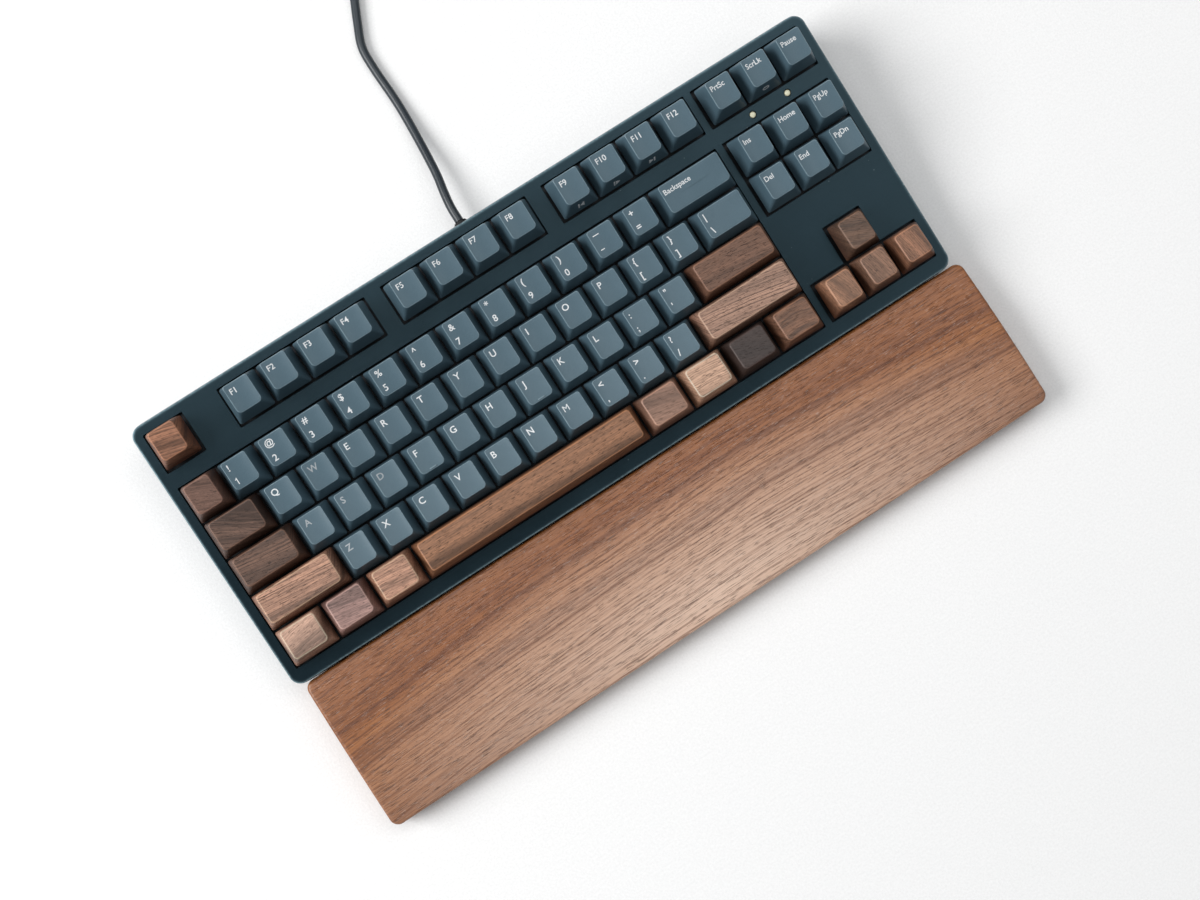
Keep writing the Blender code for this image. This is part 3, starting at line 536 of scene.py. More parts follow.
def coil_points():
    """The turns of the coil: inwards in the lower layer, up, and outwards in the upper one."""
    outermost = COIL_RADIUS + (COIL_ACROSS - 1) / 2 * LEAD_DIAMETER
    low = COIL_LIFT + LEAD_DIAMETER / 2
    last_turn = 2 * COIL_ACROSS - 1
    total = 360.0 * last_turn + COIL_OUT - COIL_IN
    count = round(total / COIL_STEP)
    points = []
    for index in range(count + 1):
        swept = total * index / count
        whole = int(swept // 360)
        part = swept - 360 * whole
        if whole < COIL_ACROSS - 1:
            track, height = whole + crossed(part, CROSS_IN), 0.0
        elif whole == COIL_ACROSS - 1:
            track, height = whole, crossed(part, CROSS_UP)
        else:
            track, height = max(0.0, last_turn - whole - crossed(part, CROSS_OUT)), 1.0
        angle = radians(COIL_IN + swept)
        outward = Vector((cos(angle), sin(angle), 0))
        lifted = Vector((0, 0, low + height * LEAD_DIAMETER))
        points.append(COIL_CENTRE + (outermost - track * LEAD_DIAMETER) * outward + lifted)
    return points


coil = coil_points()
out_angle = radians(COIL_OUT)
OUT_ALONG = Vector((-sin(out_angle), cos(out_angle), 0))
leave = coil[-1]
tail_start = leave + (COIL_STUB + GAP) * OUT_ALONG
TAIL_END = leave + (COIL_STUB + TAIL_LENGTH) * OUT_ALONG
TAIL_END.z = PLUG_GRIP[2] / 2
tail = [leave.lerp(tail_start, 0.5), tail_start, tail_start.lerp(TAIL_END, 0.25),
        tail_start.lerp(TAIL_END, 0.75), TAIL_END]
tail[2].z = tail_start.z - TAIL_EASE
tail[3].z = TAIL_END.z + TAIL_EASE
lead_line = smooth_line([*LEAD_ROUTE, coil[0]], 6)[:-1] + coil + smooth_line(tail, 4)[1:]

lead_data = bpy.data.curves.new("usb_lead_sheath", "CURVE")
lead_data.dimensions = "3D"
lead_data.bevel_depth = LEAD_DIAMETER / 2
lead_data.bevel_resolution = 5
lead_data.use_fill_caps = True
spline = lead_data.splines.new("POLY")
spline.points.add(len(lead_line) - 1)
for spline_point, point in zip(spline.points, lead_line):
    spline_point.co = (*point, 1.0)
spline.use_smooth = True
lead_data.materials.append(SHEATH)
lead = shown("usb_lead_sheath", lead_data)
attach(lead, "case")
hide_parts("usb_lead", "usb_lead_coil", "usb_lead_tail")


# ---- Strain relief, tie and plug ----
RELIEF_REACH = 0.0035     # out of the case's back
RIB_START, RIB_STEP, RIB_SHRINK = 0.0014, 0.0005, 0.00032

relief_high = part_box("strain_relief")[1]
NOSE = relief_high.y - RELIEF_REACH
nose_at = Matrix.Translation((LEAD_ROUTE[0][0], NOSE, LEAD_ROUTE[0][2]))
relief_length = relief_high.y - NOSE
profile = [
    (0.0, -0.0100), (0.0029, -0.0100), (0.0029, -0.0045), (0.0048, -0.0043), (0.0048, -0.0026),
    (0.0036, -0.0025), (0.0036, GAP), (0.0044, GAP + 0.00005), (0.0046, GAP + 0.0002),
    (0.0045, 0.0011), (0.0041, 0.0014),
]
for rib in range(4):
    low = RIB_START + rib * RIB_STEP
    radius = 0.0040 - rib * RIB_SHRINK
    groove = radius - 0.0004
    profile += [(radius, low + 0.00005), (radius, low + 0.00028)]
    profile += [(groove, low + 0.00034), (groove, low + 0.00046)]
profile += [(0.0027, relief_length - 0.0001), (0.0024, relief_length), (0.0, relief_length)]
bush = bmesh.new()
turned(bush, [(max(radius, 0.00001), height) for radius, height in profile],
       nose_at @ Matrix.Rotation(-pi / 2, 4, "X"))
relief = piece("strain_relief_bush", bush, [RUBBER], "case", ["strain_relief"])

tie_turn = radians(TIE_ANGLE)
tie_at = COIL_CENTRE + COIL_RADIUS * Vector((cos(tie_turn), sin(tie_turn), 0))
tie_at.z = COIL_LIFT + LEAD_DIAMETER
TIE_PLACE = Matrix.Translation(tie_at) @ Matrix.Rotation(tie_turn, 4, "Z") @ Matrix.Rotation(pi / 2, 4, "X")
inside = (COIL_ACROSS * LEAD_DIAMETER + 2 * GAP, 2 * LEAD_DIAMETER + 2 * GAP)
inner = outline(*inside, 0.0024, 0.0024, 6, 3, 6)
outer = outline(inside[0] + 2 * TIE_THICK, inside[1] + 2 * TIE_THICK, 0.0030, 0.0030, 6, 3, 6)
half = TIE_WIDTH / 2
rings = []
for points, side, inset in (
    (inner, -1, 0.0), (outer, -1, 0.00025), (outer, -0.88, 0.0),
    (outer, 0.88, 0.0), (outer, 1, 0.00025), (inner, 1, 0.0),
):
    by_x, by_y = 1 - inset / 0.010, 1 - inset / 0.005
    rings.append([TIE_PLACE @ Vector((p.x * by_x, p.y * by_y, side * half)) for p in points])
tie = piece("lead_tie_band", lofted(rings, tube=True), [RUBBER], "case", ["cable_tie"])

plug_angle = atan2(OUT_ALONG.y, OUT_ALONG.x) - pi / 2
GRIP_AT = Matrix.Translation(TAIL_END + GAP * OUT_ALONG) @ Matrix.Rotation(plug_angle, 4, "Z")
# How far along the grip, and its size there.
GRIP_STATIONS = (
    (0.0, 0.50), (0.0006, 0.62), (0.0020, 0.78), (0.0050, 0.92), (0.0090, 0.985), (0.0120, 1.0),
    (0.0200, 1.0), (0.0240, 0.985), (0.0248, 0.94), (PLUG_GRIP[1], 0.88),
)
GRIP_RIB = (0.0100, 0.0008, 0.0005)
SHELL_AT = GRIP_AT @ Matrix.Translation((0, PLUG_GRIP[1] + GAP, 0))
SHEET = 0.0003


def across_plug(points, along, place):
    return [place @ Vector((-p.x, along, p.y)) for p in points]


rings = []
for along, size in GRIP_STATIONS:
    corner = 0.0030 * size
    points = outline(PLUG_GRIP[0] * size, PLUG_GRIP[2] * (0.35 + 0.65 * size), corner, corner, 4, 3, 5)
    rings.append(across_plug(points, along, GRIP_AT))
grip = lofted(rings)
for index in range(5):
    for side in (-1, 1):
        away = Vector((0, 0.0130 + 0.0018 * index, side * (PLUG_GRIP[2] / 2 - 0.0002)))
        for vert in block(grip, GRIP_RIB, (0, 0, 0)):
            vert.co = GRIP_AT @ (vert.co + away)
plug_grip = piece("plug_grip_moulded", grip, [RUBBER], "case", ["usb_plug_grip"])

STEEL = metal("plug_steel", 1.0, (0.50, 0.50, 0.51), (0.68, 0.68, 0.69), (0.22, 0.38), (200, 4000), 3.0,
              0.00001, -degrees(plug_angle))
outside = outline(PLUG_SHELL[0], PLUG_SHELL[2], 0.0007, 0.0007, 2, 2, 4)
within = outline(PLUG_SHELL[0] - 2 * SHEET, PLUG_SHELL[2] - 2 * SHEET, 0.0004, 0.0004, 2, 2, 4)
shell = lofted([
    across_plug(points, along, SHELL_AT) for points, along in (
        (outside, 0.0), (outside, PLUG_SHELL[1] - 0.0001), (within, PLUG_SHELL[1]), (within, 0.0030))
])
plug_shell = piece("plug_shell_sheet", shell, [STEEL], "case", ["usb_plug_shell"])
tongue = bmesh.new()
tongue_size = (PLUG_SHELL[0] - 3 * SHEET, PLUG_SHELL[1] - 0.0036, 0.0018)
block(tongue, tongue_size, (0, 0.0020 + PLUG_SHELL[1] / 2, 0.0009))
bmesh.ops.bevel(tongue, geom=tongue.edges[:], offset=0.0002, segments=2, profile=0.5, affect="EDGES")
tongue.transform(SHELL_AT)
plug_tongue = piece("plug_tongue", tongue, [SWITCH_DARK], "case")


# ---- Keycaps ----

# A keycap's top: edge rounding, corner radii in plan, dish, crown, bulge of the sides, and extra size.
Shape = namedtuple("Shape", "edge front back dish crown bulge grow", defaults=(0.0, 0.0, 0.0))
MOULDED_CAP = Shape(0.00042, 0.0021, 0.0012, 0.00088)
WOOD_CAP = Shape(0.00095, 0.0021, 0.0018, 0.00012, bulge=0.00022, grow=0.0007)
WOOD_BAR = Shape(0.00095, 0.0018, 0.0016, -0.00002, crown=0.00045, bulge=0.00020, grow=0.0006)


# Shares of a cap's side upwards, angles round its top edge with their marks, which lighten the edge with
# wear and a painted highlight, and shares of its top inwards.
SIDE_SHARES = (0.0, 0.3, 0.6, 0.85, 1.0)
EDGE_START = radians(18)
EDGE_MARKS = ((32, 0.1), (48, 0.6), (64, 1.0), (78, 0.2), (90, 0.0))
TOP_SHARES = (0.85, 0.68, 0.50, 0.32, 0.16, 0.05)
HOMING_BAR = (0.0036, 0.0007)
HOMING_Y = -0.0046


class Cap:
    """One keycap, about the middle of its skirt."""

    def __init__(self, width, height, tilt, shape):
        self.width, self.height, self.shape = width, height, shape
        self.slope = tan(radians(tilt))
        self.top = (width - CAP_NARROWER + shape.grow, CAP_DEPTH - CAP_SHALLOWER + shape.grow)

    def top_at(self, x, y):
        across = min(1.0, abs(2 * x / self.top[0]))
        along = min(1.0, abs(2 * (y - CAP_SHIFT) / self.top[1]))
        shape = self.shape
        dip = shape.dish * (1 - across ** 2) + shape.crown * along ** 2
        return self.height + (y - CAP_SHIFT) * self.slope - dip

    def outline(self, width, depth, front, back):
        return outline(width, depth, front, back, max(4, round(self.width / 0.003)), 6, 5)

    def top_ring(self, inset, drop=0.0):
        shape = self.shape
        points = self.outline(self.top[0] - 2 * inset, self.top[1] - 2 * inset,
                              shape.front - 0.8 * inset, shape.back - 0.8 * inset)
        return [Vector((p.x, p.y + CAP_SHIFT, self.top_at(p.x, p.y + CAP_SHIFT) - drop)) for p in points]

    def build(self, bm):
        shape = self.shape
        ceiling = self.height - CAP_TOP_THICK
        inner_top = (self.top[0] - CAP_WALL, self.top[1] - CAP_WALL)
        stem = self.outline(*STEM_SIZE, 0.0004, 0.0004)
        skirt_size = (self.width, CAP_DEPTH)
        rings = [
            at_height(stem, STEM_END - SKIRT), at_height(stem, ceiling - 0.0003),
            at_height(self.outline(*(side - 0.0002 for side in inner_top), 0.0008, 0.0006),
                      ceiling, (0, CAP_SHIFT)),
            at_height(self.outline(*(side - 2 * CAP_WALL for side in skirt_size), 0.0005, 0.0005), 0),
            at_height(self.outline(*(side - 0.0003 for side in skirt_size), 0.0008, 0.0008), 0),
        ]
        # Marks below zero give painted shade: fullest inside and at the skirt, fading up the sides.
        marks = [-1.0] * len(rings)
        skirt = at_height(self.outline(*skirt_size, 0.0009, 0.0009), 0.00015)
        rim = self.top_ring(0.0, shape.edge * (1 - sin(EDGE_START)))
        for part in SIDE_SHARES:
            swell = shape.bulge * sin(pi * part)
            ring = []
            for low, high in zip(skirt, rim):
                point = low.lerp(high, part)
                point.x += copysign(swell, point.x)
                point.y += copysign(swell, point.y)
                ring.append(point)
            rings.append(ring)
            marks.append(-1.0 + 0.8 * part)
        for angle, mark in EDGE_MARKS:
            turn = radians(angle)
            rings.append(self.top_ring(shape.edge * (1 - cos(turn)), shape.edge * (1 - sin(turn))))
            marks.append(mark)
        rings.append(self.top_ring(shape.edge + 0.0004))
        marks.append(0.0)
        spine = max(0.0, (self.top[0] - self.top[1]) / 2)
        last = rings[-1]
        for part in TOP_SHARES:
            ring = []
            for point in last:
                x = min(spine, max(-spine, point.x))
                x, y = x + (point.x - x) * part, CAP_SHIFT + (point.y - CAP_SHIFT) * part
                ring.append(Vector((x, y, self.top_at(x, y))))
            rings.append(ring)
            marks.append(0.0)
        loft(bm, rings, marks)

    def homing_bar(self, bm):
        rings = []
        for inset, height in ((0.0, -0.0002), (0.0, 0.00020), (0.00010, 0.00033), (0.00022, 0.00038)):
            points = outline(*(side - 2 * inset for side in HOMING_BAR), 0.00035, 0.00035, 4, 1, 4)
            places = [(p.x, p.y + HOMING_Y) for p in points]
            rings.append([Vector((x, y, self.top_at(x, y) + height)) for x, y in places])
        # The marks lighten the bar's edges: wear and a painted highlight.
        loft(bm, rings, (0.0, 0.3, 0.9, 0.6))

    def front_at(self, x, share, out=0.0):
        """A point on the front side, at this share of its height."""
        low = Vector((x, -CAP_DEPTH / 2, 0))
        high_y = CAP_SHIFT - self.top[1] / 2
        high = Vector((x, high_y, self.top_at(x, high_y)))
        away = Vector((0, -(high.z - low.z), high.y - low.y)).normalized()
        return low.lerp(high, share) + out * away


# ---- Legends ----
LEGEND_SINK = 0.00010
LEGEND_PROUD = 0.00003

# Outlines of the signs that the font draws too plainly or too short, at its size 1, and of the marks on the
# front of three keys.
BAR_AT_LEFT = ((0.0, 0.0), (0.14, 0.0), (0.14, 0.60), (0.0, 0.60))
DRAWN = {
    "1": (((0.19, 0.0), (0.29, 0.0), (0.29, 0.73), (0.22, 0.73), (0.18, 0.64), (0.06, 0.58), (0.06, 0.50),
           (0.19, 0.53)),),
    "\u2013": (((0.0, 0.34), (0.72, 0.34), (0.72, 0.44), (0.0, 0.44)),),
    "-": (((0.0, 0.30), (0.46, 0.30), (0.46, 0.40), (0.0, 0.40)),),
    "back": (BAR_AT_LEFT, ((0.20, 0.30), (0.62, 0.0), (0.62, 0.60))),
    "play": (BAR_AT_LEFT, ((0.22, 0.0), (0.64, 0.30), (0.22, 0.60))),
    "next": (((0.0, 0.0), (0.42, 0.30), (0.0, 0.60)), ((0.48, 0.0), (0.62, 0.0), (0.62, 0.60), (0.48, 0.60))),
}
FRONT_MARKS = {"F9": "back", "F10": "play", "F11": "next"}
FRONT_MARK_HEIGHT = 0.0036
FRONT_MARK_LEFT = -0.0014
OVAL = (0.0035, 0.0030, 0.0006)     # width, depth and line
BOLD = set("+=<>()/|\\{}[]")


def flat_letters(text):
    """A flat mesh of the text in Blender's own font, at size 1."""
    if text in DRAWN:
        mesh = bpy.data.meshes.new("letters")
        points, faces = [], []
        for shape in DRAWN[text]:
            faces.append(list(range(len(points), len(points) + len(shape))))
            points += [(x, y, 0.0) for x, y in shape]
        mesh.from_pydata(points, [], faces)
        return mesh
    curve = bpy.data.curves.new("letters", "FONT")
    curve.body = text
    curve.resolution_u = 3
    if text == "M":
        curve.offset = 0.0    # a thicker M has crossing outlines
    else:
        curve.offset = 0.022 if text in BOLD else 0.015 if len(text) == 1 else 0.012
    obj = shown("letters", curve)
    mesh = mesh_as_shown(obj)
    bpy.data.objects.remove(obj)
    bpy.data.curves.remove(curve)
    return mesh


tall = flat_letters("H")
CAPITAL = max(vert.co.y for vert in tall.vertices)
bpy.data.meshes.remove(tall)


def add_letters(bm, text, left, low, height, surface, offset, finish=0):
    """Letters of this capital height as thin solids: surface(x, y, out) is a point so far off the cap."""
    mesh = flat_letters(text)
    letters = bmesh.new()
    letters.from_mesh(mesh)
    bpy.data.meshes.remove(mesh)
    bmesh.ops.remove_doubles(letters, verts=letters.verts, dist=0.0001)
    start = min(vert.co.x for vert in letters.verts)
    size = height / CAPITAL
    made = bmesh.ops.extrude_face_region(letters, geom=letters.faces[:])["geom"]
    sunk = {item for item in made if isinstance(item, bmesh.types.BMVert)}
    for vert in letters.verts:
        x, y = left + (vert.co.x - start) * size, low + vert.co.y * size
        vert.co = surface(x, y, -LEGEND_SINK if vert in sunk else LEGEND_PROUD) + offset
    bmesh.ops.recalc_face_normals(letters, faces=letters.faces)
    for face in letters.faces:
        face.material_index = finish
    thin = mesh_from(letters, "letters")
    bm.from_mesh(thin)
    bpy.data.meshes.remove(thin)


def add_oval(bm, cap, offset):
    """A ring-shaped mark on the cap's front side."""
    width, depth, line = OVAL
    rings = []
    for inset, out in ((0.0, -LEGEND_SINK), (0.0, LEGEND_PROUD), (line, LEGEND_PROUD), (line, -LEGEND_SINK)):
        ring = []
        for step in range(20):
            angle = 2 * pi * step / 20
            share = 0.50 + (depth / 2 - inset) * sin(angle) / cap.height
            ring.append(cap.front_at((width / 2 - inset) * cos(angle), share, out) + offset)
        rings.append(ring)
    loft(bm, rings, tube=True)


def words(texts):
    """Each key's legend: one text, or the upper and the lower sign of two."""
    return [(text,) if len(text) != 2 or text[0] == "F" else tuple(text) for text in texts.split()]


# Node, row, left edge and width of each key in units, legends.
GREY_RUNS = (
    ("function_keys_1_to_4", "function", 2, 1, words("F1 F2 F3 F4")),
    ("function_keys_5_to_8", "function", 6.5, 1, words("F5 F6 F7 F8")),
    ("function_keys_9_to_12", "function", 11, 1, words("F9 F10 F11 F12")),
    ("system_keys", "function", 15.25, 1, words("PrtSc ScrLk Pause")),
    ("number_keys_1_to_4", "number", 1, 1, words("!1 @2 #3 $4")),
    ("number_keys_5_to_8", "number", 5, 1, words("%5 ^6 &7 *8")),
    ("number_keys_9_to_equals", "number", 9, 1, words("(9 )0 \u2013- +=")),
    ("backspace_key", "number", 13, 2, words("Backspace")),
    ("navigation_keys_upper", "number", 15.25, 1, words("Ins Home PgUp")),
    ("letter_keys_q_to_r", "upper", 1.5, 1, words("Q W E R")),
    ("letter_keys_t_to_i", "upper", 5.5, 1, words("T Y U I")),
    ("letter_keys_o_to_brackets", "upper", 9.5, 1, words("O P {[ }]")),
    ("backslash_key", "upper", 13.5, 1.5, words("|\\")),
    ("navigation_keys_lower", "upper", 15.25, 1, words("Del End PgDn")),
    ("letter_keys_a_to_h", "home", 1.75, 1, words("A S D F G H")),
    ("letter_keys_j_to_quote", "home", 7.75, 1, words("J K L :; \"'")),
    ("letter_keys_z_to_b", "lower", 2.25, 1, words("Z X C V B")),
    ("letter_keys_n_to_slash", "lower", 7.25, 1, words("N M <, >. ?/")),
)
FADED = set("WASDZ")
# Height of the legend's capitals, and its lower edge from the cap's middle.
LETTER = (0.0030, 0.0031)
WORD = (0.0024, 0.0035)
NUMBERED = (0.0026, 0.0033)
UPPER_SIGN = (0.0030, 0.0036)
LOWER_SIGN = (0.0030, -0.0033)


def add_legend(bm, cap, texts, offset):
    """The legend at the back left of a cap's top, or two above each other."""
    left = -cap.top[0] / 2 + 0.0020

    def surface(x, y, out):
        return Vector((x, y, cap.top_at(x, y) + out))

    def put(text, size, left=left):
        height, low = size
        add_letters(bm, text, left, low, height, surface, offset, 1 if text in FADED else 0)

    if len(texts) == 2:
        put(texts[0], UPPER_SIGN)
        put(texts[1], LOWER_SIGN)
    elif len(texts[0]) == 1:
        put(texts[0], LETTER)
    elif texts[0][1:].isdigit():
        put(texts[0], NUMBERED)
    else:
        put(texts[0], WORD, left - 0.0006)


KEY_NAMES = {
    **dict(zip("!@#$%^&*()", "1234567890")), "\u2013": "minus", "+": "equals", "{": "left_bracket",
    "}": "right_bracket", "|": "backslash", ":": "semicolon", "\"": "quote", "<": "comma", ">": "period",
    "?": "slash",
}
for node, row, left, width, legends in GREY_RUNS:
    row_start, height, tilt = ROWS[row]
    span = width * len(legends)
    run_at = KEYBOARD @ Matrix.Translation(((left + span / 2) * UNIT, row_start + ROW_STEP / 2, SKIRT))
    print_mesh = bmesh.new()
    cap = Cap(width * UNIT - CAP_GAP, height, tilt, MOULDED_CAP)
    for index, texts in enumerate(legends):
        offset = Vector(((index * width - span / 2 + width / 2) * UNIT, 0, 0))
        cap_mesh = bmesh.new()
        cap.build(cap_mesh)
        if texts[0] in ("F", "J"):
            cap.homing_bar(cap_mesh)
        key = KEY_NAMES.get(texts[0], texts[0]).lower()
        cap_at = run_at @ Matrix.Translation(offset)
        piece(f"cap_{key}", cap_mesh, [KEY_GREY], node, [node], cap_at, 50)
        add_legend(print_mesh, cap, texts, offset)
        if texts[0] == "ScrLk":
            add_oval(print_mesh, cap, offset)
        elif texts[0] in FRONT_MARKS:
            add_letters(print_mesh, FRONT_MARKS[texts[0]], FRONT_MARK_LEFT, 0.0, FRONT_MARK_HEIGHT,
                        lambda x, y, out: cap.front_at(x, 0.30 + 1.25 * y / cap.height, out), offset)
    piece(f"legends_{node}", print_mesh, [INK, FADED_INK], node, (), run_at, 60)


# ---- Walnut keys ----

# Node, row, left edge and width in units, middle tone, contrast, turn and arch of the grain, rings and lines
# per metre, depth of the lines, flecks.
WALNUT_KEYS = (
    ("escape_key", "function", 0, 1, (140, 98, 76), 1.6, 14, 6, 130, 1300, 0.8, 0.7),
    ("backtick_key", "number", 0, 1, (111, 84, 73), 1.2, 24, 0, 140, 1300, 0.5, 0.7),
    ("tab_key", "upper", 0, 1.5, (99, 76, 65), 2.0, 30, 9, 60, 1000, 0.4, 0.6),
    ("caps_lock_key", "home", 0, 1.75, (98, 74, 62), 1.3, 8, 0, 150, 1400, 0.8, 0.8),
    ("left_shift_key", "lower", 0, 2.25, (167, 127, 106), 1.4, 5, 0, 190, 1400, 1.0, 0.9),
    ("left_control_key", "bottom", 0, 1.25, (178, 143, 124), 1.1, -8, 4, 100, 1300, 0.45, 0.8),
    ("left_system_key", "bottom", 1.25, 1.25, (155, 123, 115), 1.5, 10, 0, 150, 1400, 0.6, 0.9),
    ("left_alt_key", "bottom", 2.5, 1.25, (173, 131, 109), 1.8, 6, 3, 120, 1400, 0.6, 0.8),
    ("space_bar", "bottom", 3.75, 6.25, (142, 101, 75), 1.4, 1, 0, 130, 700, 0.5, 0.9),
    ("right_alt_key", "bottom", 10, 1.25, (142, 110, 94), 0.7, 12, 0, 120, 700, 0.3, 0.6),
    ("right_system_key", "bottom", 11.25, 1.25, (200, 161, 136), 0.7, 4, 3, 170, 1500, 0.8, 0.9),
    ("menu_key", "bottom", 12.5, 1.25, (63, 53, 50), 0.5, 20, 0, 150, 900, 0.2, 0.4),
    ("right_control_key", "bottom", 13.75, 1.25, (117, 86, 69), 1.8, 4, 22, 160, 1100, 0.6, 0.6),
    ("enter_key", "home", 12.75, 2.25, (111, 82, 67), 0.9, 6, 1, 110, 600, 0.4, 0.9),
    ("right_shift_key", "lower", 12.25, 2.75, (160, 126, 108), 0.8, 9, 1.2, 170, 1350, 1.0, 0.9),
    ("arrow_up_key", "lower", 16.25, 1, (100, 78, 65), 1.5, 24, 6, 150, 1500, 0.5, 0.7),
    ("arrow_left_key", "bottom", 15.25, 1, (145, 108, 86), 1.1, 70, 12, 150, 1600, 0.7, 0.8),
    ("arrow_down_key", "bottom", 16.25, 1, (126, 96, 79), 1.3, 74, 6, 190, 1700, 0.8, 0.8),
    ("arrow_right_key", "bottom", 17.25, 1, (139, 101, 80), 1.1, 78, 8, 180, 1600, 0.8, 0.8),
)
KNOTS = {
    "tab_key": ((0.0010, 0.0026, 0.85), (-0.0040, 0.0012, 0.7)),
    "caps_lock_key": ((-0.0030, 0.0008, 0.6),),
}
DARK_GRAIN, LIGHT_GRAIN = 0.36, 1.60
for index, facts in enumerate(WALNUT_KEYS):
    node, row, left, width, middle, contrast, grain_turn, arch, rings_per_metre, lines, depth, flecks = facts
    row_start, height, tilt = ROWS[row]
    middle = tone(*middle)
    finish = walnut(
        f"walnut_{node}", scaled_tone(middle, DARK_GRAIN), middle, scaled_tone(middle, LIGHT_GRAIN),
        seed=index + 1, turn=grain_turn, rings=rings_per_metre, arch=arch, wander=0.0016, contrast=contrast,
        lines=lines, line_depth=depth, flecks=flecks, streaks=KNOTS.get(node, ()), mottle=0.30,
    )
    cap = Cap(width * UNIT - CAP_GAP, height, tilt, WOOD_BAR if width > 6 else WOOD_CAP)
    cap_mesh = bmesh.new()
    cap.build(cap_mesh)
    key_at = KEYBOARD @ Matrix.Translation(((left + width / 2) * UNIT, row_start + ROW_STEP / 2, SKIRT))
    piece(f"walnut_cap_{node}", cap_mesh, [finish], node, [node], key_at, 50)


# ---- Case ----
# Row, left edge and width in units, rows.
COVER_OPENINGS = (
    ("function", 0, 1, 1), ("function", 2, 4, 1), ("function", 6.5, 4, 1), ("function", 11, 4, 1),
    ("function", 15.25, 3, 1), ("bottom", 0, 15, 5), ("upper", 15.25, 3, 2), ("bottom", 15.25, 3, 1),
)
ARROW_UP_OPENING = ("bottom", 16.25, 1, 2)     # crosses the one of the other arrows
OPENING_CORNER = 0.0004
LIGHTS = (("caps_lock_light", 16.25), ("scroll_lock_light", 17.25))
LIGHTS_Y = 0.09965
CASE_POINTS = (12, 6, 10)                      # along its sides and round its corners
# Marks round the cover's rounded edge: wear and a painted highlight.
COVER_EDGE_MARKS = ((0, 0.1), (22, 0.5), (45, 0.9), (68, 0.7), (90, 0.15))


def case_ring(grow, height, radius):
    points = outline(*grown(grow), radius, radius, *CASE_POINTS)
    return at_height(points, height, CASE_MIDDLE)


def grown(amount):
    return (CASE_SIZE[0] + 2 * amount, CASE_SIZE[1] + 2 * amount)


def open_row(bm, row, left, width, rows):
    """A shaft through the cover for one opening."""
    size = (width * UNIT + 2 * OPENING_MARGIN, rows * ROW_STEP + 2 * OPENING_MARGIN)
    middle = ((left + width / 2) * UNIT, ROWS[row][0] + rows * ROW_STEP / 2)
    points = outline(*size, OPENING_CORNER, OPENING_CORNER, 1, 1, 3)
    loft(bm, [at_height(points, -0.02, middle), at_height(points, 0.02, middle)])


low = PARTING + GAP / 2
flared = CASE_CORNER + CASE_FLARE
rings = [
    case_ring(-WALL, -COVER_FACE, CASE_CORNER - WALL), case_ring(-WALL, low, CASE_CORNER - WALL),
    case_ring(CASE_FLARE - 0.0002, low, flared), case_ring(CASE_FLARE, low + 0.0002, flared),
]
# Marks above zero lighten edges of the case: wear and a painted highlight.
marks = [0.0, 0.0, 0.6, 0.8]
for share in (0.04, 0.3, 0.6, 0.9):
    flare = CASE_FLARE * (1 - share)
    rings.append(case_ring(flare, low + (0 - COVER_EDGE - low) * share, CASE_CORNER + flare))
    marks.append(0.0)
for angle, mark in COVER_EDGE_MARKS:
    turn = radians(angle)
    inset = COVER_EDGE * (1 - cos(turn))
    rings.append(case_ring(-inset, -COVER_EDGE * (1 - sin(turn)), CASE_CORNER - inset))
    marks.append(mark)
rings.append(case_ring(-COVER_EDGE - 0.0006, 0.0, CASE_CORNER - COVER_EDGE))
marks.append(0.0)
cover = lofted(rings, marks)
openings = bmesh.new()
for opening in COVER_OPENINGS:
    open_row(openings, *opening)
for name, units in LIGHTS:
    hole = [(LIGHT_RADIUS + GAP, -0.01), (LIGHT_RADIUS + GAP, 0.01)]
    turned(openings, hole, Matrix.Translation((units * UNIT, LIGHTS_Y, 0)), 24)
cover = cut(cover, openings)
upper_step = bmesh.new()
open_row(upper_step, *ARROW_UP_OPENING)
cover = cut(cover, upper_step)
cover.transform(KEYBOARD)
cover_piece = piece("case_top_cover", cover, [CASE_BLACK], "case", ["top_cover"], sharp=30)
soften(cover_piece, 0.00035, 3, 50)


def level_height(y, height):
    """Local height at this depth of the level plane so far above the table."""
    return (height - KEYBOARD.translation.z) / cos(LEAN) - y * tan(LEAN)


def tray_rings(inset, floor, lip=0.0):
    """From the parting down to the level floor: the tray's sides draw in with depth."""
    size = grown(CASE_FLARE - inset)
    radius = flared - inset
    top = PARTING - GAP / 2 + inset
    rings = []
    for share in (0.0, 0.03, 0.5, 0.9, 1.0):
        ring = []
        for p in outline(*size, radius, radius, *CASE_POINTS):
            lowest = level_height(p.y + CASE_MIDDLE[1], floor)
            height = top + (lowest - top) * share
            sink = CASE_DRAFT * (top - height) / DRAFT_DEPTH + (lip if share in (0.0, 1.0) else 0.0)
            x = p.x * (1 - 2 * sink / size[0]) + CASE_MIDDLE[0]
            y = p.y * (1 - 2 * sink / size[1]) + CASE_MIDDLE[1]
            ring.append(Vector((x, y, height if share < 1.0 else level_height(y, floor))))
        rings.append(ring)
    return rings


FOOT_SIZE = (0.0240, 0.0260, 0.0044)
POCKET_SIZE = (FOOT_SIZE[0] + 0.0012, FOOT_SIZE[1] + 0.0024, 0.0040)
EXIT_RADIUS = 0.0039

outer = tray_rings(0.0, UNDERSIDE, 0.0002)
inner = tray_rings(WALL, UNDERSIDE + WALL)
rim = [Vector((p.x, p.y, PARTING - GAP / 2)) for p in inner[0]]
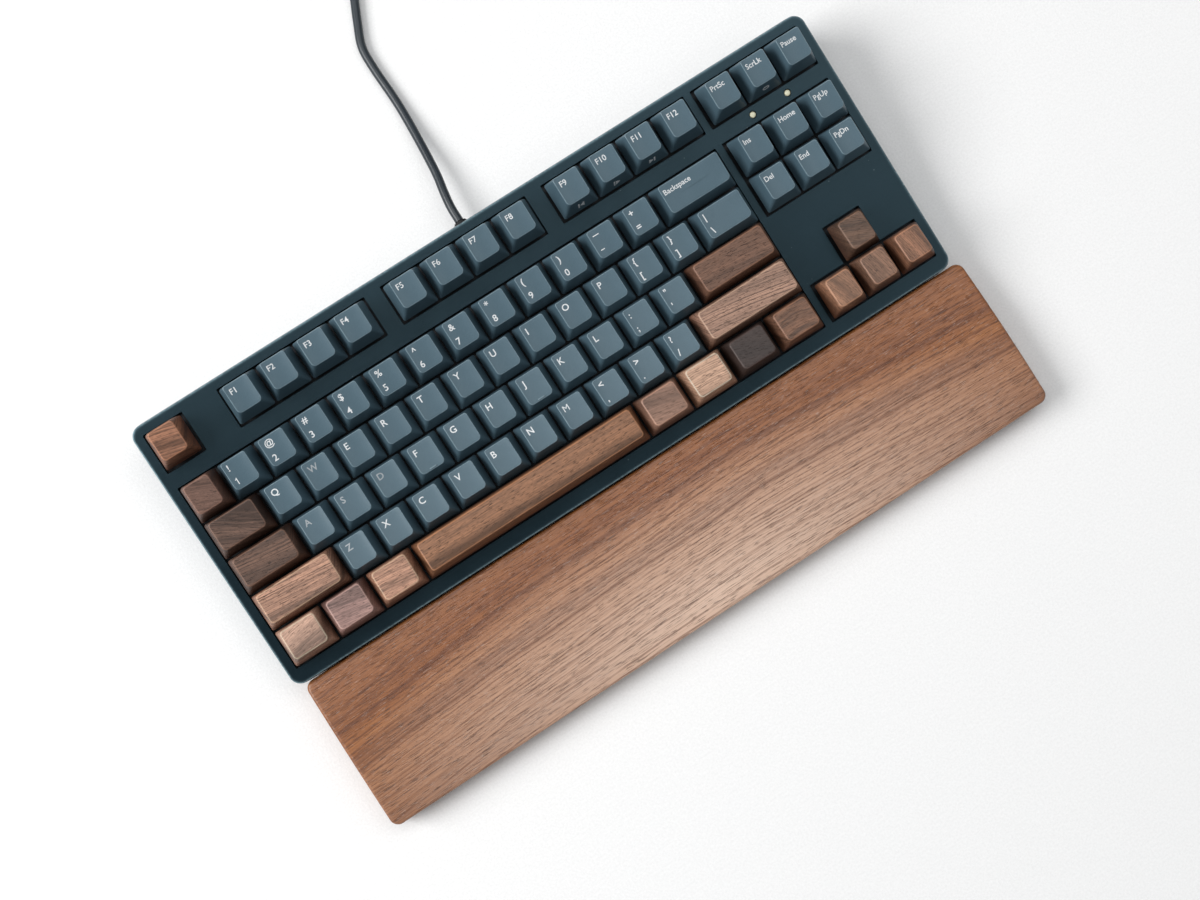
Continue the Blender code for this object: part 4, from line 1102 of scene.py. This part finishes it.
# Marks lighten the tray's outer edges: wear and a painted highlight.
tray = lofted([*inner[:0:-1], rim, *outer], [0.0] * 5 + [0.4, 0.5, 0.0, 0.2, 0.5])
bmesh.ops.recalc_face_normals(tray, faces=tray.faces)
feet = {name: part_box(name) for name in ("flip_foot_left", "flip_foot_right")}
pockets = bmesh.new()
for foot_low, foot_high in feet.values():
    foot_middle = (foot_low + foot_high) / 2
    block(pockets, POCKET_SIZE, (foot_middle.x, foot_middle.y, UNDERSIDE))
turned(pockets, [(EXIT_RADIUS, -0.008), (EXIT_RADIUS, 0.010)], nose_at @ Matrix.Rotation(pi / 2, 4, "X"), 28)
pockets.transform(KEYBOARD.inverted())
tray = cut(tray, pockets)
tray.transform(KEYBOARD)
tray_piece = piece("case_tray", tray, [CASE_BLACK], "case", ["bottom_cover"], sharp=30)
soften(tray_piece, 0.00025, 2, 50)

for name, units in LIGHTS:
    shoulder = LIGHT_TOP - 0.0005
    profile = [(0.00001, -0.0085), (LIGHT_RADIUS, -0.0085), (LIGHT_RADIUS, shoulder)]
    for angle in (30, 50, 70, 85):
        turn = radians(angle)
        profile.append((LIGHT_RADIUS * cos(turn * 0.96), shoulder + 0.0005 * sin(turn)))
    lens = bmesh.new()
    turned(lens, profile, Matrix.Translation((units * UNIT, LIGHTS_Y, 0)), 28)
    piece(f"{name}_lens", lens, [LENS], "case", [name], KEYBOARD, 45)


# ---- Inner pieces, which the CAD gives the right shape ----
PLATE_STEEL = metal("plate_steel", 0.8, (0.014, 0.015, 0.017), (0.030, 0.032, 0.035), (0.38, 0.55),
                    (120, 2400), 4.0, 0.00002)
board = Finish("circuit_board")
traces = board.levels(board.specks(board.place, 260.0), 0.30, 0.34)
solder = board.noise(board.place, 900.0, 3.0)
board.set(Base_Color=board.mix(traces, (0.006, 0.040, 0.026), (0.012, 0.070, 0.045)),
          Roughness=board.levels(solder, 0.3, 0.7, 0.30, 0.45))
board.bump((traces, 0.00004, 0.5))
for node, finish, slot in (
    ("switch_plate", PLATE_STEEL, "plate_steel"), ("circuit_board", board.material, "circuit_board"),
    ("switch_bank", SWITCH_DARK, "switch_plastic"),
):
    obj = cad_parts[node]
    obj.data.materials.clear()
    obj.data.materials.append(finish)


# ---- Feet and pads ----
HINGE_RADIUS = FOOT_SIZE[2] / 2
TIP_RADIUS = 0.0010
PIN_RADIUS = 0.0012
PIN_OUT = 0.0016
HOLLOW = (0.0060, 0.0150, 0.0022)
half = FOOT_SIZE[0] / 2
far = HINGE_RADIUS - FOOT_SIZE[1]
# Place across the foot, how much smaller its outline is there, and the edge mark for wear and painted
# highlight.
FOOT_STATIONS = (
    (-half, 0.00035, 0.4), (-half + 0.0001, 0.00012, 0.6), (-half + 0.00035, 0.0, 0.0),
    (half - 0.00035, 0.0, 0.0), (half - 0.0001, 0.00012, 0.6), (half, 0.00035, 0.4),
)
side = []
for y, z, radius, start, step, count in (
    (0.0, 0.0, HINGE_RADIUS, -90, 18, 11),
    (far + TIP_RADIUS, HINGE_RADIUS - TIP_RADIUS, TIP_RADIUS, 90, 22.5, 5),
    (far + TIP_RADIUS, TIP_RADIUS - HINGE_RADIUS, TIP_RADIUS, 180, 22.5, 5),
):
    for index in range(count):
        angle = radians(start + step * index)
        side.append(Vector((0, y + radius * cos(angle), z + radius * sin(angle))))
reach = half + PIN_OUT
pin = [(0.00001, -reach), (PIN_RADIUS - 0.0002, -reach), (PIN_RADIUS, -reach + 0.0002)]
pin += [(radius, -height) for radius, height in reversed(pin)]
for name, (foot_low, foot_high) in feet.items():
    hinge = Vector(((foot_low.x + foot_high.x) / 2, foot_high.y - HINGE_RADIUS, (foot_low.z + foot_high.z) / 2))
    rings = []
    for x, shrink, mark in FOOT_STATIONS:
        ring = []
        for p in side:
            y = p.y - copysign(shrink, p.y - far / 2)
            z = p.z - copysign(shrink, p.z) if abs(p.z) > 0.0005 else p.z
            ring.append(hinge + Vector((x, y, z)))
        rings.append(ring)
    foot = lofted(rings, [mark for x, shrink, mark in FOOT_STATIONS])
    bmesh.ops.recalc_face_normals(foot, faces=foot.faces)
    hollows = bmesh.new()
    for column in (-1, 0, 1):
        block(hollows, HOLLOW, hinge + Vector((column * 0.0075, -0.0125, HINGE_RADIUS)))
    foot = cut(foot, hollows)
    turned(foot, pin, Matrix.Translation(hinge) @ Matrix.Rotation(pi / 2, 4, "Y"), 20)
    leg = piece(f"{name}_leg", foot, [CASE_BLACK], name, [name])
    soften(leg, 0.0002, 2, 60)


def pad_mesh(node, corner, edge):
    """A rubber pad that fills its CAD node's box, with rounded rims."""
    pad_low, pad_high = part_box(node)
    size = pad_high - pad_low
    rings = []
    for inset, height in (
        (edge, pad_low.z), (0.3 * edge, pad_low.z + 0.3 * edge), (0.0, pad_low.z + edge),
        (0.0, pad_high.z - 0.0001), (0.0001, pad_high.z),
    ):
        points = outline(size.x - 2 * inset, size.y - 2 * inset, corner - inset, corner - inset, 6, 2, 8)
        rings.append(at_height(points, height, (pad_low + pad_high) / 2))
    return lofted(rings)


for end in ("front", "back"):
    for side in ("left", "right"):
        node = f"rubber_pad_{end}_{side}"
        piece(f"{node}_moulding", pad_mesh(node, 0.0040, 0.0005), [RUBBER], "case", [node])
for side in ("left", "right"):
    node = f"palm_rest_pad_{side}"
    piece(f"{node}_strip", pad_mesh(node, 0.0050, 0.0003), [RUBBER], "palm_rest", [node])


# ---- Palm rest ----
REST_CORNER = 0.0042
REST_EDGE = 0.0016
REST_CROWN = 0.0022
REST_POINTS = (40, 10, 10)
# Dark lines along the rest: place from its middle, half width, depth.
REST_STREAKS = (
    (0.0050, 0.0014, 0.60), (0.0085, 0.0006, 0.35), (0.0120, 0.0010, 0.40), (0.0180, 0.0006, 0.35),
    (0.0255, 0.0016, 0.55), (0.0310, 0.0008, 0.45), (0.0345, 0.0005, 0.35), (-0.0030, 0.0006, 0.30),
    (-0.0080, 0.0011, 0.35), (-0.0135, 0.0006, 0.28), (-0.0190, 0.0010, 0.30),
)
rest_low, rest_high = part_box("palm_rest")
rest_size = rest_high - rest_low
half_height = rest_size.z / 2


def rest_ring(inset, height, corner):
    """A ring whose height drops towards the front and the back in the rest's upper half."""
    points = outline(rest_size.x - 2 * inset, rest_size.y - 2 * inset, corner, corner, *REST_POINTS)
    share = max(0.0, height / half_height)
    return [Vector((p.x, p.y, height - share * REST_CROWN * (2 * p.y / rest_size.y) ** 2)) for p in points]


upper = []
for angle in (0, 18, 36, 54, 72, 90):
    turn = radians(angle)
    upper.append((REST_EDGE * (1 - cos(turn)), half_height - REST_EDGE * (1 - sin(turn))))
rings = []
marks = []
for inset, height in [(inset, -height) for inset, height in reversed(upper)] + [(0.0, 0.0)] + upper:
    rings.append(rest_ring(inset, height, REST_CORNER - 0.6 * inset))
    # A faint painted highlight along the top's rounded rim.
    marks.append(0.12 if 0.0 < inset < 0.9 * REST_EDGE and height > 0 else 0.0)
for inset in (0.004, 0.007, 0.011, 0.015, 0.019, 0.023, 0.027, 0.031, 0.035):
    rings.append(rest_ring(inset, half_height, 0.001))
    marks.append(0.0)
REST_WOOD = walnut(
    "walnut_palm_rest", tone(85, 44, 22), tone(137, 83, 43), tone(166, 109, 65), seed=0.3,
    rings=55.0, arch=0.27, wander=0.0035, contrast=0.85, lines=900.0, line_depth=0.50, flecks=0.55,
    chalk=0.25, pores=(150, 2400, 0.57), streaks=REST_STREAKS, rough=(0.38, 0.46), shine=0.6,
    # Painted sheen: a pale patch at the rest's front middle, standing for a broad reflection.
    painted_sheen=((0.0, -0.030), (0.215, 0.057), tone(224, 193, 172), 0.91),
)
rest_at = Matrix.Translation((rest_low + rest_high) / 2)
piece("walnut_palm_rest", lofted(rings, marks), [REST_WOOD], "palm_rest", ["palm_rest"], rest_at, 50)


# ---- Floor and light ----
FLOOR_HALF = 3.0
SKY_COLOUR = (0.95, 0.98, 1.0, 1.0)
SKY_STRENGTH = 0.20
WHITE = (1.0, 1.0, 1.0)
# Name, place, target, size, watts and colour.
SOFT_LIGHTS = (
    ("window", (-1.92, 0.88, 1.70), (0.0, 0.05, 0.0), (1.7, 1.3), 70.5, (1.0, 0.995, 0.99)),
    ("ceiling", (0.05, 0.58, 1.90), (0.0, 0.05, 0.0), (1.8, 0.8), 12.5, WHITE),
    ("front", (0.12, -0.66, 1.30), (0.0, -0.05, 0.0), (0.50, 0.30), 0.4, WHITE),
    ("fill", (0.95, -0.05, 1.25), (0.10, 0.0, 0.0), (1.0, 1.0), 3.4, WHITE),
)

floor_mesh = bmesh.new()
bmesh.ops.create_grid(floor_mesh, x_segments=1, y_segments=1, size=FLOOR_HALF)
floor = shown("floor", mesh_from(floor_mesh, "floor"))
paper = Finish("floor_paper")
speckle = paper.noise(paper.place, 900.0, 4.0, 0.7)
cloud = paper.noise(paper.place, 60.0, 3.0)
paper.set(Base_Color=paper.mix(paper.levels(speckle, 0.35, 0.65), (0.86, 0.86, 0.86), (0.93, 0.93, 0.93)),
          Roughness=paper.levels(cloud, 0.3, 0.7, 0.75, 0.90))
paper.bump((speckle, 0.0003, 0.4))
floor.data.materials.append(paper.material)

world = bpy.data.worlds.new("studio")
world.use_nodes = True
sky = world.node_tree.nodes["Background"].inputs
sky["Color"].default_value = SKY_COLOUR
sky["Strength"].default_value = SKY_STRENGTH
SCENE.world = world

for name, place, target, size, watts, colour in SOFT_LIGHTS:
    data = bpy.data.lights.new(name, "AREA")
    data.shape = "RECTANGLE"
    data.size, data.size_y = size
    data.energy = watts
    data.color = colour
    way = (Vector(target) - Vector(place)).to_track_quat("-Z", "Y").to_matrix().to_4x4()
    shown(name, data).matrix_world = Matrix.Translation(place) @ way
SCENE.view_settings.view_transform = "Standard"
